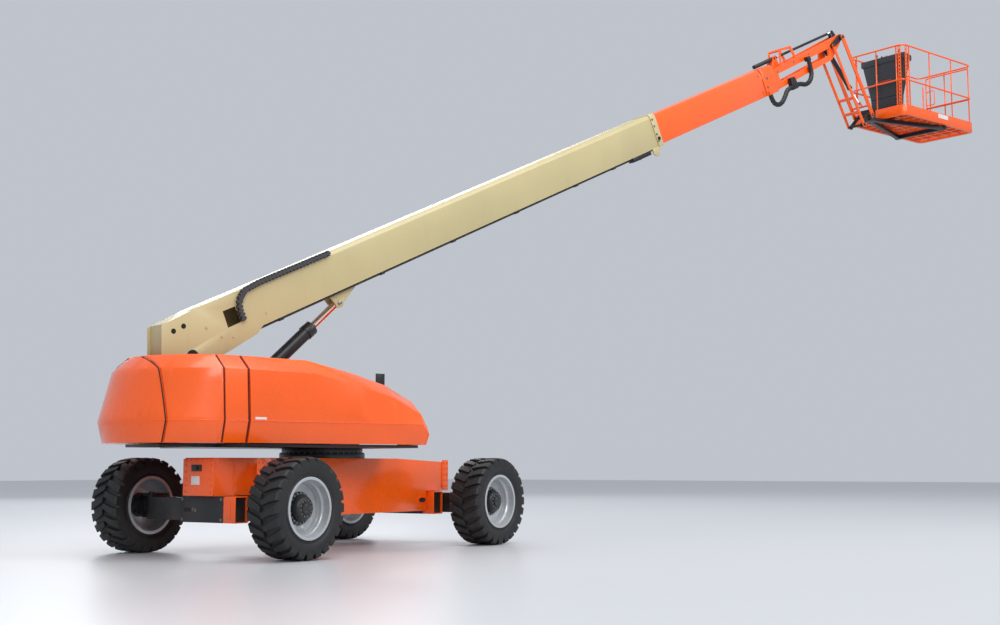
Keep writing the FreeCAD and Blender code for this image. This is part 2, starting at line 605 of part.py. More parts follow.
def base_boom_item():
    shell = tube(v.base_half, v.base_low, v.base_high, v.corner, "base_mouth - 80", "base_end", v.base_wall)
    cheek = [(-330, 48), (-250, -100), (80, -140), (433, -106), (771, -66), (860, v.base_low),
             (860, v.base_high - v.corner), (v.base_mouth - 48, v.base_high), (200, v.base_high),
             (170, v.base_high - 6), (-178, v.base_high - 22)]
    window = [(480, 110), (704, 112), (690, 280), (490, 286)]
    pieces = [shell]
    for start in ("0 - base_half", "base_half - 1.5 * base_wall"):
        pieces.append(padded("XZ", cheek, "1.5 * base_wall", start, (window,)))
    lid = [(-150, v.base_high - 32), (160, v.base_high - 16), (200, v.base_high - 10),
           (v.base_mouth - 72, v.base_high - 10), (v.base_mouth - 72, v.base_high), (200, v.base_high),
           (170, v.base_high - 6), (-150, v.base_high - 22)]
    pieces.append(padded("XZ", lid, "2 * base_half - 2 * base_wall", "base_wall - base_half"))
    back = [(-265, 120), (-255, 116), (-140, 390), (-152, 392)]
    pieces.append(padded("XZ", back, "2 * base_half - 2 * base_wall", "base_wall - base_half"))
    ear = [(v.lug_pin_s - 96, v.base_low), (v.lug_pin_s - 53, v.lug_pin_n),
           ((v.lug_pin_s, v.lug_pin_n - 53), (v.lug_pin_s + 48, v.lug_pin_n - 16)), (v.lug_pin_s + 336,
                                                                                     v.base_low)]
    for start in ("0 - eye_half - ear_gap - ear_wall", "eye_half + ear_gap"):
        pieces.append(padded("XZ", ear, "ear_wall", start))
    for start, end in (("0 - base_half - cap_depth", "0 - tower_half - joint_gap"),
                       ("tower_half + joint_gap", "base_half + cap_depth")):
        pieces.append(drum("Y", "cap_radius", ("0", "0"), start, end))
    for start, end in (("0 - eye_half - ear_gap - ear_wall - 13", "0 - eye_half - ear_gap - ear_wall"),
                       ("eye_half + ear_gap + ear_wall", "eye_half + ear_gap + ear_wall + 13")):
        pieces.append(drum("Y", "king_radius", ("lug_pin_s", "lug_pin_n"), start, end))
    pieces.append(drum("Y", "pivot_radius", ("0", "0"), "0 - base_half", "base_half"))
    collar = tube(v.base_half + 10, v.base_low - 11, v.base_high + 6, v.corner, "base_end - collar",
                  "base_end",
                  v.base_wall)
    pieces.append(collar)
    pieces += mouth_pads(v.pad_half, v.base_low + v.base_wall, v.base_high - v.base_wall, "base_end")
    # room for the rod's eye, which drifts from its pin when the boom is low
    eye_slot = block(("lug_pin_s - 32", "lug_pin_s + 80"), ("0 - eye_half - ear_gap", "eye_half + ear_gap"),
                     ("base_low - 1", "base_low + base_wall + 1"))
    return less(joined(pieces), [eye_slot])


node("base_boom", base_boom_item(), boom)
inset = v.base_wall + v.step_gap
mid_half = v.base_half - inset
mid_low = v.base_low + inset
mid_high = v.base_high - inset
mid_section = [tube(mid_half, mid_low, mid_high, v.corner, "mid_tail", "mid_end", v.base_wall)]
mid_section += mouth_pads(v.pad_half, mid_low + v.base_wall, mid_high - v.base_wall, "mid_end")
node("mid_boom", joined(mid_section), boom)
fly_half = mid_half - inset
fly_low = mid_low + inset
fly_high = mid_high - inset


# Hose loops beside the nose as s and n in the boom's frame
LOWER_HOSE = ((9865, 4), (9865, -70), (9905, -150), (9990, -182), (10090, -160), (10180, -100), (10280, -22),
              (10375, -22))
UPPER_HOSE = ((10505, -22), (10596, -22), (10700, -70), (10805, -66), (10895, -18), (10955, 80), (10955, 235))


def fly_item():
    shell = tube(fly_half, fly_low, fly_high, v.corner, "fly_tail", "mid_end + head_gap", v.base_wall)
    head = padded("YZ", tube_outline(mid_half, mid_low, mid_high, v.corner),
                  "head_end - mid_end - head_gap",
                  "mid_end + head_gap")
    gland_s, gland_n = LOWER_HOSE[0]
    side = "0 - nose_plate_half - 2 * hose_radius - joint_gap"
    gland = block((str(gland_s - 46), str(gland_s + 46)), (side + " - 6", "0 - nose_plate_half"),
                  (str(gland_n), str(gland_n + 60)))
    return joined([shell, head, gland])


node("fly_boom", fly_item(), boom)


def carrier_items():
    """Hose carrier over the nose: two bent straps between the cheeks."""
    rise = v.carrier_rise
    items = []
    for start in ("0 - nose_plate_half", "nose_plate_half - carrier_wall"):
        strap = [(v.carrier_s, v.carrier_root), (v.carrier_s + 40, v.carrier_root),
                 (v.carrier_s + 100, rise - 30), (v.carrier_s + 330, rise - 60), (v.carrier_s + 380,
                                                                                  v.carrier_root),
                 (v.carrier_s + 430, v.carrier_root), (v.carrier_s + 370, rise - 20), (v.carrier_s + 80,
                                                                                       rise)]
        items.append(padded("XZ", strap, "carrier_wall", start))
    items.append(drum("Y", "carrier_wall", ("carrier_s + 110", "carrier_rise - 30"),
                      "0 - nose_plate_half", "nose_plate_half"))
    return items


def nose_item():
    """Two tapered cheeks with a long opening, tied near the head, bored at the tip for the level knuckle."""
    s0 = v.head_end
    outer = [(s0, mid_low + 16), (s0 + 48, mid_low + 16), (v.tip_s - 336, v.tip_n - 264),
             (v.tip_s - 48, v.tip_n - 96), (v.tip_s + 50, v.tip_n - 16),
             ((v.tip_s + 36, v.tip_n + 36), (v.tip_s - 16, v.tip_n + 50)), (s0, 320)]
    opening = [(s0 + 152, mid_low + 104), (v.tip_s - 384, v.tip_n - 184), (v.tip_s - 336, v.tip_n - 88),
               (s0 + 152, 232)]
    cheeks = [padded("XZ", outer, "nose_wall", start, (opening,))
              for start in ("0 - nose_plate_half", "nose_plate_half - nose_wall")]
    ties = [block(("head_end", "head_end + 56"), ("0 - nose_plate_half", "nose_plate_half"), ("48", "304"))]
    ties.append(drum("Y", "32", ("head_end + 640", "92"), "0 - nose_plate_half", "nose_plate_half"))
    ties.append(block(("head_end", "level_s + 96"), ("0 - nose_plate_half", "nose_plate_half"),
                      ("298", "317")))
    pedestal = [(v.level_s - 176, 307), (v.level_s + 72, 307), (v.level_s + 40, v.level_n),
                ((v.level_s, v.level_n + 40), (v.level_s - 40, v.level_n))]
    for start in ("0 - level_radius - joint_gap - 13", "level_radius + joint_gap"):
        ties.append(padded("XZ", pedestal, "13", start))
    ties += carrier_items()
    bores = [drum("Y", "tip_pin + pin_gap", ("tip_s", "tip_n"), "0 - nose_plate_half", "nose_plate_half"),
             drum("Y", "trunnion + running_fit", ("level_s", "level_n"), "0 - nose_plate_half",
                  "nose_plate_half")]
    return less(joined(cheeks + ties), bores)


node("fly_nose", nose_item(), boom)


# Hydraulic cylinders along +X of their own frames: barrel with an eye at the origin, rod with its eye
def barrel_item(radius, length, eye, eye_half, bore, gland, gland_length, pin_radius, rod):
    shell = less(drum("X", radius, ("0", "0"), eye + " * 0.6", length),
                 [drum("X", bore, ("0", "0"), eye + " * 1.6", length)])
    collar = less(drum("X", gland, ("0", "0"), length + " - " + gland_length, length),
                  [drum("X", rod + " + running_fit", ("0", "0"), length + " - " + gland_length, length)])
    head = drum("Y", eye, ("0", "0"), "0 - " + eye_half, eye_half)
    return less(joined([shell, collar, head]),
                [drum("Y", pin_radius + " + pin_gap", ("0", "0"), "0 - " + eye_half, eye_half)])


def rod_item(radius, start, pin_distance, eye, eye_half):
    shaft = drum("X", radius, ("0", "0"), start, pin_distance)
    head = drum("Y", eye, (pin_distance, "0"), "0 - " + eye_half, eye_half)
    return joined([shaft, head])


def aimed(origin, target, frame):
    """Frame at origin whose X axis points at target; both are given in the carrier's frame."""
    angle = math.degrees(math.atan2(target.z - origin.z, target.x - origin.x))
    return frame.multiply(Placement(origin, Rotation(Vector(0, 1, 0), -angle)))


ram_foot = Vector(v.ram_x, 0, v.ram_z)
ram_top = turntable.inverse().multVec(boom.multVec(Vector(v.lug_pin_s, 0, v.lug_pin_n)))
ram = aimed(ram_foot, ram_top, turntable)
ram_span = str(round((ram_top - ram_foot).Length, 3))
node("lift_barrel", barrel_item("ram_radius", "ram_length", "64", "( ram_radius - 4 )",
                                "ram_radius - ram_wall",
                                "gland_radius", "gland_length", "king_radius", "ram_rod"), ram)
node("lift_rod", rod_item("ram_rod", "0.45 * ram_length", ram_span, "eye_radius", "eye_half"), ram)


# Level knuckle at the tip: pin, horn for the level rod, cheeks that carry the rear link's pins
def knuckle_plate(reach_angle, reach, root, end_radius):
    """A plate outline from the tip pin to a second pin at a polar place in the level frame."""
    angle = math.radians(reach_angle)
    axis = (math.cos(angle), math.sin(angle))
    across = (-axis[1], axis[0])
    far = (reach * axis[0], reach * axis[1])
    return [(root * across[0], root * across[1]),
            ((-root * axis[0], -root * axis[1]), (-root * across[0], -root * across[1])),
            (far[0] - end_radius * across[0], far[1] - end_radius * across[1]),
            ((far[0] + end_radius * axis[0], far[1] + end_radius * axis[1]),
             (far[0] + end_radius * across[0], far[1] + end_radius * across[1]))]


couple_angle = math.degrees(math.atan2(-v.couple_z, -v.couple_x))
couple_reach = math.hypot(v.couple_x, v.couple_z)
horn_level = v.horn_angle + v.boom_angle


def level_knuckle_item():
    inner = "( nose_plate_half - nose_wall - joint_gap )"
    outer = "( nose_plate_half + joint_gap )"
    ear = knuckle_plate(couple_angle, couple_reach, 46, 37)
    horn = knuckle_plate(horn_level, v.horn_radius, 42, 27)
    boss_start = "( level_eye_half + joint_gap )"
    pieces = [drum("Y", "42", ("0", "0"), "0 - " + inner, "0 - " + boss_start),
              drum("Y", "42", ("0", "0"), boss_start, inner)]
    for start in ("0 - " + inner, inner + " - 19"):
        pieces.append(padded("XZ", ear, "19", start))
    for start in ("0 - level_eye_half - joint_gap - 11", "level_eye_half + joint_gap"):
        pieces.append(padded("XZ", horn, "11", start))
    for start in ("0 - " + outer + " - 16", outer):
        pieces.append(padded("XZ", ear, "16", start))
    pin_end = "( nose_plate_half + 3 * joint_gap + 3 * link_wall + 6 )"
    pieces.append(drum("Y", "tip_pin", ("0", "0"), "0 - " + pin_end, pin_end))
    for start, end in (("0 - " + outer + " - 16 - joint_gap - link_wall - 4", "0 - " + outer),
                       (outer, outer + " + 16 + joint_gap + link_wall + 4")):
        pieces.append(drum("Y", "19", ("0 - couple_x", "0 - couple_z"), start, end))
    for start, end in (("0 - " + inner, "4 - fork_start"), ("fork_start - 4", inner)):
        pieces.append(drum("Y", "19", ("0 - couple_x", "0 - couple_z"), start, end))
    return joined(pieces)


node("level_knuckle", level_knuckle_item(), level)
horn_tip = Vector(v.horn_radius * math.cos(math.radians(horn_level)), 0,
                  v.horn_radius * math.sin(math.radians(horn_level)))
horn_in_boom = boom.inverse().multVec(level.multVec(horn_tip))
level_ram = aimed(Vector(v.level_s, 0, v.level_n), horn_in_boom, boom)
level_span = str(round((horn_in_boom - Vector(v.level_s, 0, v.level_n)).Length, 3))
level_barrel = less(drum("X", "level_radius", ("0", "0"), "0 - level_back", "level_front"),
                    [drum("X", "level_rod + running_fit", ("0", "0"), "48 - level_back", "level_front")])
stub = drum("Y", "trunnion", ("0", "0"), "0 - level_radius - joint_gap - 13",
            "level_radius + joint_gap + 13")
stub_less = less(stub, [drum("X", "level_rod + running_fit", ("0", "0"), "0 - level_back", "level_front")])
node("level_barrel", joined([level_barrel, stub_less]), level_ram)
node("level_rod", rod_item("level_rod", "0 - level_back + 176", level_span, "24", "level_eye_half"),
     level_ram)

# Jib links: two bars each, tied beyond the reach of the folded nose
rear_y = "( nose_plate_half + joint_gap + 16 + joint_gap )"
front_y = "( nose_plate_half + 3 * joint_gap + 16 + link_wall )"


def link_item(offset, depth, bore, ties, tie_radius="24"):
    outline_half = depth / 2
    length = v.link_length
    outline = [(0, outline_half), ((-outline_half, 0), (0, -outline_half)), (length, -outline_half),
               ((length + outline_half, 0), (length, outline_half))]
    pieces = [padded("XZ", outline, "link_wall", "0 - " + offset + " - link_wall"),
              padded("XZ", outline, "link_wall", offset)]
    for share in ties:
        pieces.append(drum("Y", tie_radius, ("%s * link_length" % share, "0"), "0 - " + offset, offset))
    bores = [drum("Y", bore, ("0", "0"), "0 - 2 * " + offset, "2 * " + offset),
             drum("Y", bore, ("link_length", "0"), "0 - 2 * " + offset, "2 * " + offset)]
    return less(joined(pieces), bores)


def front_link_item():
    bars = link_item(front_y, v.link_depth, "tip_pin + pin_gap", (0.876,), "16")
    ear = [(v.jib_pin - 32, 0), ((v.jib_pin, -32), (v.jib_pin + 32, 0)), (v.link_length * 0.876 + 12, 8),
           (v.link_length * 0.876, 16)]
    ears = [padded("XZ", ear, "11", start) for start in ("0 - jib_eye_half - joint_gap - 11",
                                                         "jib_eye_half + joint_gap")]
    return joined([bars] + ears)


node("jib_front_link", front_link_item(), link)
node("jib_rear_link", link_item(rear_y, v.rear_depth, "20", (0.66, 0.84)), rear_link)


def forked_barrel_item():
    """The jib cylinder's barrel on a fork, so that the level rod passes between its two eyes."""
    arm = [(0, 38), ((-38, 0), (0, -38)), (v.fork_length + 24, -30), (v.fork_length + 24, 30)]
    shell = less(drum("X", "jib_radius", ("0", "0"), "fork_length + 8", "jib_length"),
                 [drum("X", "jib_radius - 6", ("0", "0"), "fork_length + 40", "jib_length")])
    collar = less(drum("X", "jib_radius + 6", ("0", "0"), "jib_length - 48", "jib_length"),
                  [drum("X", "jib_rod + running_fit", ("0", "0"), "jib_length - 48", "jib_length")])
    base = block(("fork_length", "fork_length + 24"), ("0 - fork_start - fork_wall", "fork_start + fork_wall"),
                 ("-30", "30"))
    pieces = [shell, collar, base]
    for start in ("0 - fork_start - fork_wall", "fork_start"):
        pieces.append(padded("XZ", arm, "fork_wall", start))
    bore = drum("Y", "19 + pin_gap", ("0", "0"), "0 - fork_start - fork_wall", "fork_start + fork_wall")
    return less(joined(pieces), [bore])


jib_top = link.multVec(Vector(v.jib_pin, 0, 0))
jib_ram = aimed(couple, level.inverse().multVec(jib_top), level)
jib_span = str(round((level.inverse().multVec(jib_top) - couple).Length, 3))
node("jib_barrel", forked_barrel_item(), jib_ram)
node("jib_rod", rod_item("jib_rod", "0.4 * jib_length", jib_span, "jib_eye", "jib_eye_half"), jib_ram)


# Platform bracket with the rotator's housing
def bracket_item():
    plate = [(-v.couple_x - 40, -v.couple_z), ((-v.couple_x, -v.couple_z - 40),
                                               (-v.couple_x + 40, -v.couple_z)),
             (48, v.rotator_low), (v.rotator_x, v.rotator_low),
             (v.rotator_x, v.rotator_high - 8), (0, 48)]
    pieces = [padded("XZ", plate, "link_wall", start)
              for start in ("0 - nose_plate_half", "nose_plate_half - link_wall")]
    pieces.append(drum("Z", "rotator_radius", ("rotator_x", "0"), "rotator_low", "rotator_high"))
    pieces.append(block(("32", "rotator_x"), ("0 - nose_plate_half", "nose_plate_half"),
                        ("rotator_low", "112")))
    end = "( nose_plate_half + 3 * joint_gap + 3 * link_wall + 6 )"
    pieces.append(drum("Y", "tip_pin", ("0", "0"), "0 - " + end, end))
    end = "( nose_plate_half + 3 * joint_gap + 32 )"
    pieces.append(drum("Y", "19", ("0 - couple_x", "0 - couple_z"), "0 - " + end, end))
    return joined(pieces)


node("platform_bracket", bracket_item(), bracket)


# Platform: swing frame, floor with kick plates, rails, gate, console
def swing_frame_item():
    boss = drum("Z", "rotator_radius + 12", ("0", "0"), "rotator_low - swing_gap - swing_plate",
                "rotator_low - swing_gap")
    half = v.platform_width / 2 - 48
    reach = v.platform_offset + 0.62 * v.platform_length
    pieces = [boss]
    for sign in (-1, 1):
        arm = [(0, sign * 56), (reach, sign * half), (reach, sign * (half - 72)), (48, 0)]
        if sign < 0:
            arm.reverse()
        pieces.append(padded("XY", arm, "swing_plate", "rotator_low - swing_gap - swing_plate"))
    pieces.append(block(("platform_offset + 0.62 * platform_length - 64",
                         "platform_offset + 0.62 * platform_length"),
                        ("48 - platform_width / 2", "platform_width / 2 - 48"),
                        ("rotator_low - swing_gap - swing_plate", "rotator_low - swing_gap")))
    return joined(pieces)


node("platform_swing_frame", swing_frame_item(), platform)


def rounded(inset, corner):
    """Plan outline of the platform with its corners rounded, moved inwards by inset."""
    x0 = v.platform_offset + inset
    x1 = v.platform_offset + v.platform_length - inset
    y1 = v.platform_width / 2 - inset
    r = corner - inset * 0.5
    k = r * (1 - math.sqrt(0.5))
    return [(x0 + r, -y1), (x1 - r, -y1), ((x1 - k, k - y1), (x1, r - y1)), (x1, y1 - r),
            ((x1 - k, y1 - k), (x1 - r, y1)), (x0 + r, y1), ((x0 + k, y1 - k), (x0, y1 - r)),
            (x0, r - y1), ((x0 + k, k - y1), (x0 + r, -y1))]


def floor_item():
    rim = padded("XY", rounded(0, 96), "floor_thick", "rotator_low - swing_gap",
                 (rounded(2 * v.grid_bar, 96),))
    bars = []
    inner = v.platform_length - 4 * v.grid_bar
    count = int(inner / v.grid_pitch)
    for i in range(1, count):
        x = "platform_offset + 2 * grid_bar + ( %d / %d ) * ( platform_length - 4 * grid_bar )" % (i, count)
        bars.append(block((x + " - grid_bar / 2", x + " + grid_bar / 2"),
                          ("1.5 * grid_bar - platform_width / 2", "platform_width / 2 - 1.5 * grid_bar"),
                          ("rotator_low - swing_gap + floor_thick - grid_depth",
                           "rotator_low - swing_gap + floor_thick")))
    rows = int((v.platform_width - 4 * v.grid_bar) / v.grid_pitch)
    for i in range(1, rows):
        y = "2 * grid_bar - platform_width / 2 + ( %d / %d ) * ( platform_width - 4 * grid_bar )" % (i,
                                                                                                     rows)
        bars.append(block(("platform_offset + 1.5 * grid_bar",
                           "platform_offset + platform_length - 1.5 * grid_bar"),
                          (y + " - grid_bar / 2", y + " + grid_bar / 2"),
                          ("rotator_low - swing_gap + floor_thick - grid_depth",
                           "rotator_low - swing_gap + floor_thick")))
    deck = joined([rim] + bars)
    wall = padded("XY", rounded(0, 96), "kick_height", "rotator_low - swing_gap",
                  (rounded(v.kick_wall, 96),))
    return joined([deck, wall])


node("platform_floor", floor_item(), platform)
floor_z = v.rotator_low - v.swing_gap


def rails_item():
    x0 = v.platform_offset + 16
    x1 = v.platform_offset + v.platform_length - 16
    y = v.platform_width / 2 - 16
    gap_end = x1 - v.gate_post
    gap_start = gap_end - v.gate_width
    top = floor_z + v.rail_height
    foot_z = floor_z + v.floor_thick
    pieces = []
    for height in (top, floor_z + v.mid_rail):
        route = [(gap_start, y), (x0, y), (x0, -y), (x1, -y), (x1, y), (gap_end, y)]
        pieces.append(pipe([Vector(x, across, height) for x, across in route], v.rail_radius,
                           v.rail_corner))
    length = x1 - x0
    near = [(x0 + share * length, -y) for share in (0.08, 0.37, 0.69, 0.95)]
    far = [(x0 + 0.08 * length, y), (x0 + 0.38 * length, y), (gap_start, y), (gap_end, y)]
    ends = [(x0, 0), (x0, 0.36 * v.platform_width), (x0, -0.36 * v.platform_width), (x1, 0)]
    for x, across in near + far + ends:
        pieces.append(Part.makeCylinder(v.post_radius, top - foot_z, Vector(x, across, foot_z)))
    return fixed(pieces[0].multiFuse(pieces[1:]))


node("platform_rails", rails_item(), platform)


def gate_item():
    x1 = v.platform_offset + v.platform_length - 16 - v.gate_post - 2 * v.post_radius - v.gate_gap
    x0 = x1 - v.gate_width + 4 * v.post_radius + 2 * v.gate_gap
    y = v.platform_width / 2 - 16
    low = floor_z + v.kick_height + 48
    high = floor_z + v.rail_height - 48
    middle = (x0 + x1) / 2
    loop = [(middle, low), (x0, low), (x0, high), (x1, high), (x1, low), (middle, low)]
    frame = pipe([Vector(x, y, z) for x, z in loop], v.post_radius, v.rail_corner)
    bar = Part.makeCylinder(v.post_radius - 3, x1 - x0, Vector(x0, y, floor_z + v.mid_rail),
                            Vector(1, 0, 0))
    return fixed(frame.fuse(bar))


node("platform_gate", gate_item(), platform)


def console_item():
    """Hooded control box on a tapered column that stands on the deck."""
    half = v.console_width / 2
    foot_half = 0.58 * half
    low = floor_z + v.floor_thick
    high = floor_z + v.console_high
    waist = low + 0.34 * (high - low)
    lid = 0.11 * (high - low)
    front = [(-foot_half, low), (foot_half, low), (foot_half + 20, waist), (0.9 * half, high - lid - 20),
             (half, high - lid), (half, high), (-half, high), (-half, high - lid), (-0.9 * half,
                                                                                    high - lid - 20),
             (-foot_half - 20, waist)]
    column = padded("YZ", front, "console_depth", "platform_offset + console_back")
    x = v.platform_offset + v.console_back
    side = [(x + 40, low), (x + v.console_depth - 30, low), (x + v.console_depth - 30, waist),
            (x + v.console_depth, high - lid - 60), (x + v.console_depth,
                                                     high - 30), (x + 60, high), (x, high - 16),
            (x, high - lid - 40), (x + 30, waist)]
    profile = padded("XZ", side, "console_width", "0 - console_width / 2")
    shape = document.addObject("Part::Common", fresh("common"))
    shape.Base = column
    shape.Tool = profile
    return shape


node("control_console", console_item(),
     platform.multiply(Placement(Vector(0, v.console_side, 0), Rotation())))

# Energy chain along the base section's near top edge: links on a common strip
CHAIN_ROUTE = ((664, 118), (664, 240), (700, 330), (790, 396), (1000, 412), (1900, 406))


def chain_item():
    points = [Vector(s, 0, n) for s, n in CHAIN_ROUTE]
    half = v.chain_depth / 2
    pieces = []
    for start, stop in zip(points, points[1:]):
        run = stop - start
        angle = -math.degrees(math.atan2(run.z, run.x))
        spine = Part.makeBox(run.Length + v.chain_wall, v.chain_half - v.chain_wall, v.chain_depth / 2,
                             Vector(-v.chain_wall / 2, 0, -v.chain_depth / 4))
        shapes = [spine]
        count = max(1, int(round(run.Length / v.chain_pitch)))
        for i in range(count):
            centre = (i + 0.5) * run.Length / count
            shapes.append(Part.makeBox(v.chain_pitch * 0.62, v.chain_half, v.chain_depth,
                                       Vector(centre - v.chain_pitch * 0.31, 0, -half)))
        for shape in shapes:
            shape.rotate(Vector(), Vector(0, 1, 0), angle)
            shape.translate(start)
            pieces.append(shape)
    return fixed(pieces[0].multiFuse(pieces[1:]))


node("energy_chain", chain_item(), boom.multiply(Placement(Vector(0, -v.base_half - v.chain_half, 0),
                                                           Rotation())))

# The two hose loops and the clamp that holds them
def hose_shape(route):
    points = [Vector(s, 0, n) for s, n in route]
    edges = []
    start = points[0]
    for before, here, after in zip(points, points[1:], points[2:]):
        to_before = (before - here).normalize()
        to_after = (after - here).normalize()
        half = to_before.getAngle(to_after) / 2
        shorter = min((before - here).Length, (after - here).Length)
        setback = 0.45 * shorter
        radius = setback * math.tan(half)
        first = here + to_before * setback
        last = here + to_after * setback
        middle = here + (to_before + to_after).normalize() * (radius / math.sin(half) - radius)
        edges.append(Part.LineSegment(start, first).toShape())
        edges.append(Part.Arc(first, middle, last).toShape())
        start = last
        print("hose radius", round(radius))
    edges.append(Part.LineSegment(start, points[-1]).toShape())
    wire = Part.Wire(edges)
    section = Part.Wire([Part.makeCircle(v.hose_radius, points[0], points[1] - points[0])])
    tube_shape = wire.makePipeShell([section], True, False)
    print("hose length", round(wire.Length), "volume share",
          round(tube_shape.Volume / (math.pi * v.hose_radius ** 2 * wire.Length), 4))
    return fixed(tube_shape)


beside_nose = Placement(Vector(0, -v.nose_plate_half - v.hose_radius - v.joint_gap, 0), Rotation())
for name, route in (("hose_loop_lower", LOWER_HOSE), ("hose_loop_upper", UPPER_HOSE)):
    node(name, hose_shape(route), boom.multiply(beside_nose))


def clamp_item():
    """Block between the two loops' ends, carried on the near cheek."""
    first = LOWER_HOSE[-1]
    last = UPPER_HOSE[0]
    side = [(first[0], first[1] - 44), (last[0], last[1] - 44), (last[0], last[1] + 44),
            (last[0] - 20, 110),
            (first[0] + 20, 110), (first[0], first[1] + 44)]
    body = padded("XZ", side, "2 * hose_radius + joint_gap",
                  "0 - nose_plate_half - 2 * hose_radius - joint_gap")
    top = UPPER_HOSE[-1]
    fitting = [(top[0] - 46, top[1]), (top[0] + 34, top[1]), (top[0] + 20, top[1] + 62),
               (top[0] - 40, top[1] + 62)]
    upper = padded("XZ", fitting, "2 * hose_radius + joint_gap",
                   "0 - nose_plate_half - 2 * hose_radius - joint_gap")
    return joined([body, upper])


node("hose_clamp", clamp_item(), boom)

# Check every object and write the parts
document.recompute()
for item in document.Objects:
    if "Invalid" in item.State or "Error" in item.State:
        raise RuntimeError("failed object: " + item.Name)
os.makedirs("parts", exist_ok=True)
for holder in nodes:
    shape = holder.Shape
    if shape.isNull() or not shape.isValid() or not shape.Solids:
        raise RuntimeError("bad shape: " + holder.Label)
    shape.exportStep("parts/%s.step" % holder.Label)
    box = shape.BoundBox
    print("%-26s solids %2d faces %4d volume %9.2f dm3  z %7.1f %7.1f" % (
        holder.Label, len(shape.Solids), len(shape.Faces), shape.Volume / 1e6, box.ZMin, box.ZMax))
print("nodes", len(nodes))
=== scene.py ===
import json
import math
import bpy
import bmesh
from mathutils import Matrix, Vector
from mathutils.bvhtree import BVHTree


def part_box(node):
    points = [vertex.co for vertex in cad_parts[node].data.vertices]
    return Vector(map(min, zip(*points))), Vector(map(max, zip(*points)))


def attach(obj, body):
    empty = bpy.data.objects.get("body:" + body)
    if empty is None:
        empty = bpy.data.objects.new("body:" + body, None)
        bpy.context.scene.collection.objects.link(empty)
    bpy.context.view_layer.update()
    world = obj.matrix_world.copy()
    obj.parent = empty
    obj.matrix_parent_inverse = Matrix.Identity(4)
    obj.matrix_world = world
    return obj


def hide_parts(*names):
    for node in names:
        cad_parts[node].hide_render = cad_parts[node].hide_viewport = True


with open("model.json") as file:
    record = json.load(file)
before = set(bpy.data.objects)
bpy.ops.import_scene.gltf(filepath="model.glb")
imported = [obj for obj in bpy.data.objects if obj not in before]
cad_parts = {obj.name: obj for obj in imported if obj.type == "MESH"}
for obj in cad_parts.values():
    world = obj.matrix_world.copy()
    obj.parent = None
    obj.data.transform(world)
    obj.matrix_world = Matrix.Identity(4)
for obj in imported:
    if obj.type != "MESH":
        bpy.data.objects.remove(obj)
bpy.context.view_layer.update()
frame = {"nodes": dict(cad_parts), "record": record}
print("frame loaded:", len(frame["nodes"]), "nodes")


def addObject(name, data):
    thing = bpy.data.objects.new(name, data)
    bpy.context.scene.collection.objects.link(thing)
    return thing


def turned(degrees, axis):
    return Matrix.Rotation(math.radians(degrees), 4, axis)


def facingMatrix(direction, track="-Z"):
    return direction.to_track_quat(track, "Y").to_matrix().to_4x4()


# camera where the photograph was taken from
cameraSettings = {"place": (-10.889, -9.787, 0.858), "heading": 34.57, "pitch": 6.39, "roll": 0.06,
                  "focalPixels": 1367.5, "imageWidth": 1000, "sensorWidth": 36, "clipEnd": 400}


def makeCamera(cfg):
    heading, pitch = math.radians(cfg["heading"]), math.radians(cfg["pitch"])
    forward = Vector((math.cos(heading) * math.cos(pitch), math.sin(heading) * math.cos(pitch),
                      math.sin(pitch)))
    data = bpy.data.cameras.new("camera")
    data.sensor_width = cfg["sensorWidth"]
    data.lens = cfg["sensorWidth"] * cfg["focalPixels"] / cfg["imageWidth"]
    data.clip_end = cfg["clipEnd"]
    camera = addObject("camera", data)
    camera.matrix_world = Matrix.Translation(cfg["place"]) @ facingMatrix(forward) @ turned(-cfg["roll"], "Z")
    bpy.context.scene.camera = camera


stageSettings = {"floorHalf": 60, "floorColor": (0.56, 0.57, 0.59, 1), "floorRoughness": 0.33,
                 "skyColor": (0.84, 0.89, 0.97, 1), "skyStrength": 0.62}
# name, place, aim, size, energy
studioLights = (("keyLight", (-14, -16, 15), (0, 0, 2), 12, 2300),
                ("topLight", (2, -3, 22), (2, 0, 0), 16, 2300),
                ("rimLight", (14, 16, 12), (2, 0, 3), 12, 1400),
                ("boomLight", (4, -16, 13), (8, -2, 6), 9, 1000))


def makeStage(cfg):
    mesh = bpy.data.meshes.new("floor")
    half = cfg["floorHalf"]
    mesh.from_pydata([(-half, -half, 0), (half, -half, 0), (half, half, 0), (-half, half, 0)], [],
                     [(0, 1, 2, 3)])
    floor = addObject("floor", mesh)
    material = bpy.data.materials.new("paleFloor")
    material.use_nodes = True
    shader = material.node_tree.nodes["Principled BSDF"]
    shader.inputs["Base Color"].default_value = cfg["floorColor"]
    shader.inputs["Roughness"].default_value = cfg["floorRoughness"]
    mesh.materials.append(material)
    world = bpy.data.worlds.new("softSky")
    world.use_nodes = True
    sky = world.node_tree.nodes["Background"]
    sky.inputs["Color"].default_value = cfg["skyColor"]
    sky.inputs["Strength"].default_value = cfg["skyStrength"]
    bpy.context.scene.world = world
    bpy.context.scene.view_settings.view_transform = "Standard"
    for name, place, aim, size, energy in studioLights:
        data = bpy.data.lights.new(name, "AREA")
        data.size = size
        data.energy = energy
        lamp = addObject(name, data)
        lamp.matrix_world = Matrix.Translation(place) @ facingMatrix(Vector(aim) - Vector(place))


makeCamera(cameraSettings)
makeStage(stageSettings)
print("stage ready")

